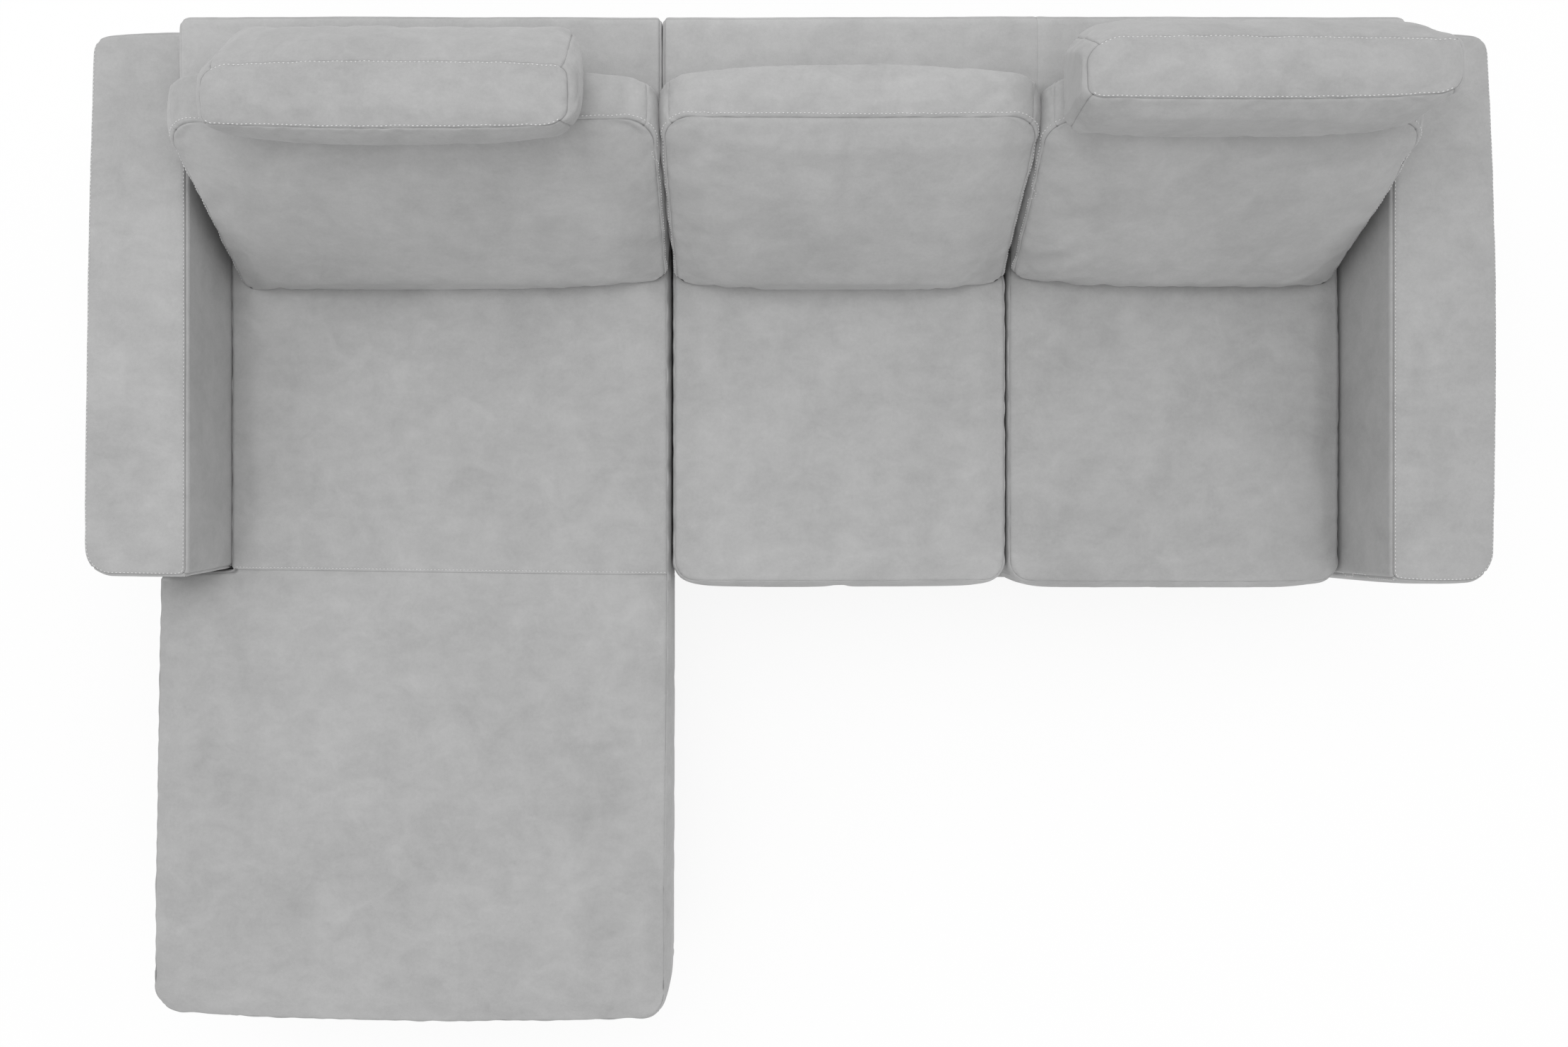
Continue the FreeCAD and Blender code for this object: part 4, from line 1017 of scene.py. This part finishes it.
for side, cover in back_cushions.items():
    cover.refine(wrinkle=1.4)
    low, high = span(f"{cover.name}_cover")
    seams = [{"between": ("front", "top"), "rows": (("top", WIDE_TOPSTITCH),)}]
    seams += [{"between": ("front", edge), "rows": ((edge, WIDE_TOPSTITCH),)} for edge in ("left", "right")]
    seams += [{"between": ("rear", edge)} for edge in ("top", "left", "right")]
    seams += [{"between": ("top", edge), "faint": 0.5 * MM} for edge in ("left", "right")]
    seams += [{"between": ("front", "under")}]
    keep = inside(low - [SIDE_ROOM[side], 0, 0], high + [3 * MM, 12 * MM, 0], partial(back_of_cushion, side))
    cover.tailor(seams, pucker=1.3, creases=BACK_FOLDS[side], keep=keep)
    cover.dress(cover.name, [f"{cover.name}_cover"], 0.7)

HEAD_FOLDS = {
    "left": [
        ("top", fold((0.90, 0.30), (0.97, 0.85), 6 * MM, 2.2 * MM, (0, 1))),
        ("top", fold((0.84, 0.95), (0.99, 0.72), 6 * MM, 1.8 * MM, (0, 1))),
        ("right", fold((0.20, 0.85), (0.80, 0.45), 6 * MM, 3.0 * MM, (1, 2))),
        ("right", fold((0.15, 0.45), (0.85, 0.75), 6 * MM, 2.4 * MM, (1, 2))),
    ],
    "right": [
        ("front", fold((0.70, 0.25), (0.92, 0.75), 7 * MM, 1.8 * MM)),
        ("top", fold((0.30, 0.95), (0.62, 0.88), 7 * MM, 1.4 * MM, (0, 1))),
    ],
}
for side, cover in head_cushions.items():
    cover.refine(wrinkle=1.5)
    low, high = span(f"{cover.name}_cover")
    seams = [{"between": ("front", "top"), "rows": (("top", TOPSTITCH),)}]
    seams += [{"between": ("rear", "top"), "rows": (("top", TOPSTITCH),), "faint": 0.4 * MM}]
    seams += [{"between": (face, edge)} for face in ("front", "rear") for edge in ("left", "right")]
    seams += [{"between": ("top", edge)} for edge in ("left", "right")]
    seams += [{"between": ("front", "under")}, {"between": ("rear", "under")}]
    keep = inside(low - [5 * MM, 0, 0], high)
    cover.tailor(seams, pucker=1.2, creases=HEAD_FOLDS[side], keep=keep)
    cover.dress(cover.name, [f"{cover.name}_cover"], 0.6)

# Arms

# Radii of the corners in plan, front and rear, and how far the front face swells
ARM_CORNERS_OUTSIDE = (50 * MM, 34 * MM)
ARM_CORNERS_INSIDE = (17 * MM, 16 * MM)
ARM_BULGE = {"left": 1 * MM, "right": 13 * MM}


def arm(side):
    low, high = span(f"{side}_arm_cover")
    outer, inner = ("left", "right") if side == "left" else ("right", "left")
    outward = -1 if side == "left" else 1
    corners = (ARM_CORNERS_OUTSIDE, ARM_CORNERS_INSIDE)
    corners = corners if side == "left" else corners[::-1]
    if side == "left":
        low, high = low + [0, 5 * MM, 0], high - [ARM_INSET, 0, 0]

    def form(places):
        """Tapers the arm to its rear, and draws the left arm's front corners back, the inner one low down."""
        across = (places[:, 0] - low[0]) / (high[0] - low[0])
        across = np.clip(1 - across if side == "left" else across, 0, 1)
        along = np.clip((places[:, 1] - low[1]) / (high[1] - low[1]), 0, 1)
        taper = 1 + 16 * along**1.5 if side == "left" else 7.5 + 41.5 * (along - 0.38) ** 2
        moved = places.copy()
        moved[:, 0] -= outward * across * taper * MM
        moved[:, 1] -= 8 * MM * across**2 * along**8
        if side == "left":
            moved[:, 1] += 4 * MM * across * (1 - along) ** 4
            lower = np.clip((high[2] - places[:, 2]) / (180 * MM), 0, 1)
            moved[:, 1] += 11 * MM * lower * (1 - across) ** 3 * (1 - along) ** 8
        return moved

    swell = {outer: 3 * MM, inner: 0.5 * MM, "top": 4 * MM, "front": ARM_BULGE[side]}
    top = high - [0, 0, 4 * MM]
    cover = Cover(f"{side}_arm", low, top, 2, corners, (9 * MM, 15 * MM), 18 * MM, swell, form)
    cover.refine(wrinkle=0.5)
    seams = [{"between": ("top", edge), "rows": (("top", TOPSTITCH),)} for edge in ("left", "right", "front")]
    seams += [{"between": ("top", "rear")}]
    seams += [{"between": ("front", edge), "rows": (("front", TOPSTITCH),)} for edge in ("left", "right")]
    seams += [{"between": ("rear", edge)} for edge in ("left", "right")]
    cover.tailor(seams, pucker=0.5, keep=inside(low - [0, 9 * MM, 0], high))
    cover.dress("root", [f"{side}_arm_cover"], 0.9)


for side in ("left", "right"):
    arm(side)

# Backs

PANEL_SEAM = span("middle_seat_cushion_cover")[1][0] + 1.5 * MM

# The backs stand this much nearer to each other than their solids, and their tops swell this much
NEARER = 2 * MM
BACK_SWELL = 4 * MM


def back(side):
    low, high = span(f"{side}_back_cover")
    lines = ((), (), ()) if side == "left" else (beside(PANEL_SEAM), (), ())
    corners = ((22 * MM, 36 * MM), (22 * MM, 22 * MM))
    low[0] -= NEARER if side == "right" else 0
    high[0] += NEARER if side == "left" else 0
    flat_low = np.array([low[0], 0.0, low[2]])
    flat_high = np.array([high[0], BACK_TOP_DEPTH + 2 * MM, high[2] - BACK_SWELL])

    def form(places):
        depth = REAR - back_face(places[:, 2])
        moved = places.copy()
        moved[:, 1] = REAR - (BACK_TOP_DEPTH - places[:, 1]) / BACK_TOP_DEPTH * depth
        return moved

    rims = (22 * MM, 12 * MM) if side == "left" else (12 * MM, 22 * MM)
    swell = {"top": BACK_SWELL}
    cover = Cover(f"{side}_back", flat_low, flat_high, 0, corners, rims, 18 * MM, swell, form, lines)
    cover.refine(wrinkle=0.7)
    seams = [{"between": (face, edge)} for face in ("top", "rear", "front") for edge in ("left", "right")]
    seams += [{"between": ("top", "rear")}]
    if side == "right":
        seams.append({"line": (0, PANEL_SEAM), "panels": ("top", "rear", "front"), "faint": 0.4 * MM})
    cover.tailor(seams, pucker=0.4, keep=inside(low, high + [0, 3 * MM, 0]))
    cover.dress("root", [f"{side}_back_cover"], 0.9)


for side in ("left", "right"):
    back(side)

# Borders round the bases

for name in ("chaise_front_border", "chaise_outer_border", "chaise_inner_border", "seat_front_border"):
    low, high = span(name)
    thin = ((10 * MM, 10 * MM), (10 * MM, 10 * MM))
    cover = Cover(f"{name}_cover", low, high, 2, thin, (9 * MM, 10 * MM), 24 * MM)
    cover.refine(wrinkle=0.35)
    cover.tailor([], keep=inside(low, high))
    cover.dress("root", [name], 0.9)

# Foam, felt and lining


def merged(node):
    """A copy of a CAD node's mesh with its points joined and its flat faces whole."""
    bm = bmesh.new()
    bm.from_mesh(frame["nodes"][node].data)
    bmesh.ops.remove_doubles(bm, verts=bm.verts[:], dist=0.02 * MM)
    bmesh.ops.dissolve_limit(bm, angle_limit=math.radians(1), verts=bm.verts[:], edges=bm.edges[:])
    return bm


for cover in (*seats, *back_cushions.values(), *head_cushions.values()):
    cover.fill()

SHEET_GRID = 40 * MM


def laid_sheet(name, node, finish, sag):
    """A flat cloth of the node's outline and thickness that sags a little between its edges."""
    low, high = span(node)
    bm = merged(node)
    area = sum(face.calc_area() for face in bm.faces if face.normal.z > 0.9)
    for axis in (0, 1):
        place = low[axis] + SHEET_GRID
        while place < high[axis]:
            point, normal = [0, 0, 0], [0, 0, 0]
            point[axis], normal[axis] = place, 1
            everything = bm.verts[:] + bm.edges[:] + bm.faces[:]
            bmesh.ops.bisect_plane(bm, geom=everything, plane_co=point, plane_no=normal)
            place += SHEET_GRID
    for vertex in bm.verts:
        share = [(vertex.co[axis] - low[axis]) / (high[axis] - low[axis]) for axis in (0, 1)]
        slack = min(1, 16 * share[0] * (1 - share[0])) * min(1, 16 * share[1] * (1 - share[1]))
        vertex.co.z -= sag * slack * (0.6 + 0.4 * noise.noise(vertex.co * 5))
    mesh = meshed(bm, node)
    obj = placed(name, mesh, finish, "root", [node])


laid_sheet("chaise_deck_felt", "chaise_deck", FINISHES["felt"], 1.2 * MM)
laid_sheet("seat_deck_felt", "seat_deck", FINISHES["felt"], 1.2 * MM)
laid_sheet("chaise_dust_sheet", "chaise_dust_cover", FINISHES["lining_cloth"], 4 * MM)
laid_sheet("seat_dust_sheet", "seat_dust_cover", FINISHES["lining_cloth"], 4 * MM)


# Counterweight flaps behind the head cushions

HEM_RADIUS = 6.6 * MM
HEM_TURN = 1.9 * math.pi
HEM_STEPS = 20
DROP_STEPS = 8
FLAP_COLUMNS = 38
FLAP_CLOTH = 1.6 * MM


def flap(side):
    """A strip of cloth that hangs from the head cushion and turns round a bar at its foot."""
    node = f"{side}_head_flap"
    low, high = span(node)
    bar_low, bar_high = span(f"{side}_head_weight")
    bar = (bar_low + bar_high) / 2
    strip_y = low[1] + 5 * MM
    bm = bmesh.new()
    drop = high[2] - bar[2]
    heights = [high[2] - drop * step / DROP_STEPS for step in range(DROP_STEPS + 1)]
    path = [bm.verts.new((low[0], strip_y, height)) for height in heights]
    path[-1].co.y = bar[1] - HEM_RADIUS
    for step in range(1, HEM_STEPS + 1):
        turn = HEM_TURN * step / HEM_STEPS
        y = bar[1] - HEM_RADIUS * math.cos(turn)
        path.append(bm.verts.new((low[0], y, bar[2] - HEM_RADIUS * math.sin(turn))))
    for first, second in zip(path, path[1:]):
        bm.edges.new((first, second))
    edges = bm.edges[:]
    width = high[0] - low[0]
    for _ in range(FLAP_COLUMNS):
        made = bmesh.ops.extrude_edge_only(bm, edges=edges)["geom"]
        moved = [item for item in made if isinstance(item, bmesh.types.BMVert)]
        edges = [item for item in made if isinstance(item, bmesh.types.BMEdge)]
        bmesh.ops.translate(bm, verts=moved, vec=(width / FLAP_COLUMNS, 0, 0))
    for vertex in bm.verts:
        loose = max(0, min(1, (vertex.co.z - bar[2] - 20 * MM) / (60 * MM)))
        vertex.co.y += 1.6 * MM * loose * noise.noise(vertex.co * 14)
    bmesh.ops.recalc_face_normals(bm, faces=bm.faces[:])
    obj = placed(f"{node}_cloth", meshed(bm, node), UPHOLSTERY, f"{side}_head_cushion", [node])
    wall = obj.modifiers.new("Cloth", "SOLIDIFY")
    wall.thickness = FLAP_CLOTH
    wall.offset = 0
    smooth(obj.data)


for side in ("left", "right"):
    flap(side)


# Springs: round wire bent to and fro, from one rail to the other

WIRE = 2 * MM
BEND = 15 * MM
RUN = 8 * MM
LEAD = 30 * MM
TURN_STEPS = 6


def zigzag(length):
    """The middle line of a zigzag spring along X."""
    turns = int((length - 2 * LEAD - 2 * BEND) / (2 * BEND) + 1e-6)
    turns -= 1 - turns % 2
    lead = (length - 2 * BEND - 2 * BEND * turns) / 2
    points = [(0.0, 0.0), (lead, 0.0)]

    def arc(x, y, start, sweep, steps):
        for step in range(1, steps + 1):
            angle = start + sweep * step / steps
            points.append((x + BEND * math.cos(angle), y + BEND * math.sin(angle)))

    arc(lead, BEND, -math.pi / 2, math.pi / 2, TURN_STEPS)
    x = lead + BEND
    for turn in range(turns):
        up = 1 - 2 * (turn % 2)
        points.append((x, up * (BEND + RUN)))
        arc(x + BEND, up * (BEND + RUN), math.pi, -up * math.pi, 2 * TURN_STEPS)
        x += 2 * BEND
    points.append((x, BEND))
    arc(x + BEND, BEND, math.pi, math.pi / 2, TURN_STEPS)
    points.append((length, 0.0))
    return points


def springs(node, along):
    """Every spring of a module, side by side, where its CAD solids lie."""
    wires = bpy.data.curves.new(node, "CURVE")
    wires.dimensions = "3D"
    wires.bevel_depth = WIRE
    wires.bevel_resolution = 2
    wires.use_fill_caps = True
    points = read(frame["nodes"][node].data.vertices)
    across = 1 - along
    order = points[np.argsort(points[:, across])]
    breaks = np.nonzero(np.diff(order[:, across]) > 20 * MM)[0] + 1
    for group in np.split(order, breaks):
        low, high = group.min(0), group.max(0)
        ends = group[np.abs(group[:, along] - low[along]) < MM]
        middle = (ends.min(0) + ends.max(0)) / 2
        path = zigzag(high[along] - low[along])
        bend_side = 1 if along == 0 else -1
        spline = wires.splines.new("POLY")
        spline.points.add(len(path) - 1)
        for point, (run, wave) in zip(spline.points, path):
            place = [0, 0, middle[2], 1]
            place[along] = low[along] + run
            place[across] = middle[across] + bend_side * wave
            point.co = place
    scratch = bpy.data.objects.new(node, wires)
    collection.objects.link(scratch)
    mesh = baked(scratch)
    bpy.data.objects.remove(scratch)
    smooth(mesh)
    placed(f"{node}_wire", mesh, FINISHES["spring_steel"], "root", [node])


springs("chaise_springs", 0)
springs("seat_springs", 1)

# Turned feet

# Radius and height of a foot's outline, in millimetres, from the middle of its sole to the middle of its head
FOOT_PROFILE = (
    (0, 5), (17.2, 5), (18.8, 6.4), (19.4, 10), (21.4, 34),
    (24.6, 66), (26.4, 80), (27, 85.5), (26.2, 88.5), (0, 88.5),
)
FOOT_TURNS = 32


def clusters(node, reach):
    """The middle, in plan, of each solid of a node whose solids stand well apart."""
    found = []
    for point in read(frame["nodes"][node].data.vertices):
        for group in found:
            if abs(point[0] - group[0][0]) < reach and abs(point[1] - group[0][1]) < reach:
                group.append(point)
                break
        else:
            found.append([point])
    return [(np.min(group, axis=0) + np.max(group, axis=0)) / 2 for group in found]


bm = bmesh.new()
for middle in clusters("feet", 70 * MM):
    outline = [(middle[0] + radius * MM, middle[1], level * MM) for radius, level in FOOT_PROFILE]
    profile = [bm.verts.new(place) for place in outline]
    line = [bm.edges.new(pair) for pair in zip(profile, profile[1:])]
    turned = {"cent": (middle[0], middle[1], 0), "axis": (0, 0, 1), "angle": math.tau, "steps": FOOT_TURNS}
    bmesh.ops.spin(bm, geom=profile + line, use_merge=True, **turned)
bmesh.ops.remove_doubles(bm, verts=bm.verts[:], dist=0.01 * MM)
bmesh.ops.recalc_face_normals(bm, faces=bm.faces[:])
feet = placed("turned_feet", meshed(bm, "feet"), FINISHES["stained_wood"], "root", ["feet"])
feet.data.polygons.foreach_set("use_smooth", [abs(face.normal.z) < 0.9 for face in feet.data.polygons])

# Carried-over pieces keep their shapes and take their finishes

for part in frame["record"]["subparts"]:
    node = frame["nodes"][part["node"]]
    slot = part["material_slot"]
    if node.hide_render:
        continue
    if slot == "timber":
        low, high = span(part["node"])
        finish = TIMBER[2] if part["node"] == "corner_blocks" else TIMBER[int(np.argmax(high - low))]
    else:
        finish = FINISHES.get(slot, UPHOLSTERY)
    node.data.materials.clear()
    node.data.materials.append(finish)

# Studio: a white floor that keeps a faint shadow, soft light from all over and a little from behind

FLOOR_HALF = 9.0
bm = bmesh.new()
bmesh.ops.create_grid(bm, x_segments=2, y_segments=2, size=FLOOR_HALF)
floor = bpy.data.objects.new("studio_floor", meshed(bm, "studio_floor"))
collection.objects.link(floor)
paper = Finish("studio_paper")
lit = paper.node("ShaderNodeBsdfDiffuse", {}, {"Color": (0.93, 0.93, 0.93, 1)})
glow = paper.node("ShaderNodeEmission", {}, {"Color": (1, 1, 1, 1), "Strength": 1.0})
seen = paper.either(paper.direct() * 0.88, lit, glow)
clear = paper.node("ShaderNodeBsdfTransparent")
below = paper.node("ShaderNodeNewGeometry", result="Backfacing")
floor.data.materials.append(paper.shown_by(paper.either(below, seen, clear)))

sky = Finish("studio", "worlds")
light = sky.node("ShaderNodeBackground", {}, {"Color": (1, 1, 1, 1), "Strength": 0.93})
white = sky.node("ShaderNodeBackground", {}, {"Color": (1, 1, 1, 1), "Strength": 1.0})
bpy.context.scene.world = sky.shown_by(sky.either(sky.direct(), light, white))

SOFTBOX_PLACE = (-0.4, 1.6, 4.3)
SOFTBOX_AIM = (0, 0, 0.4)
softbox = bpy.data.lights.new("softbox", "AREA")
softbox.shape = "RECTANGLE"
softbox.size, softbox.size_y = 3.0, 2.4
softbox.energy = 46
lamp = bpy.data.objects.new("softbox", softbox)
collection.objects.link(lamp)
lamp.location = SOFTBOX_PLACE
lamp.rotation_euler = (Vector(SOFTBOX_AIM) - lamp.location).to_track_quat("-Z", "Y").to_euler()

# Camera: straight down from 2.9 m, its foot a little left of and behind the middle

PHOTO_WIDTH = 2220
FOCAL_PIXELS = 1809
SENSOR = 36
SHIFT_PIXELS = 44
camera = bpy.data.cameras.new("camera")
camera.sensor_width = SENSOR
camera.lens = FOCAL_PIXELS * SENSOR / PHOTO_WIDTH
camera.shift_x = SHIFT_PIXELS / PHOTO_WIDTH
eye = bpy.data.objects.new("camera", camera)
collection.objects.link(eye)
eye.location = (-0.070, 0.043, 2.9)
bpy.context.scene.camera = eye
bpy.context.scene.view_settings.view_transform = "Standard"
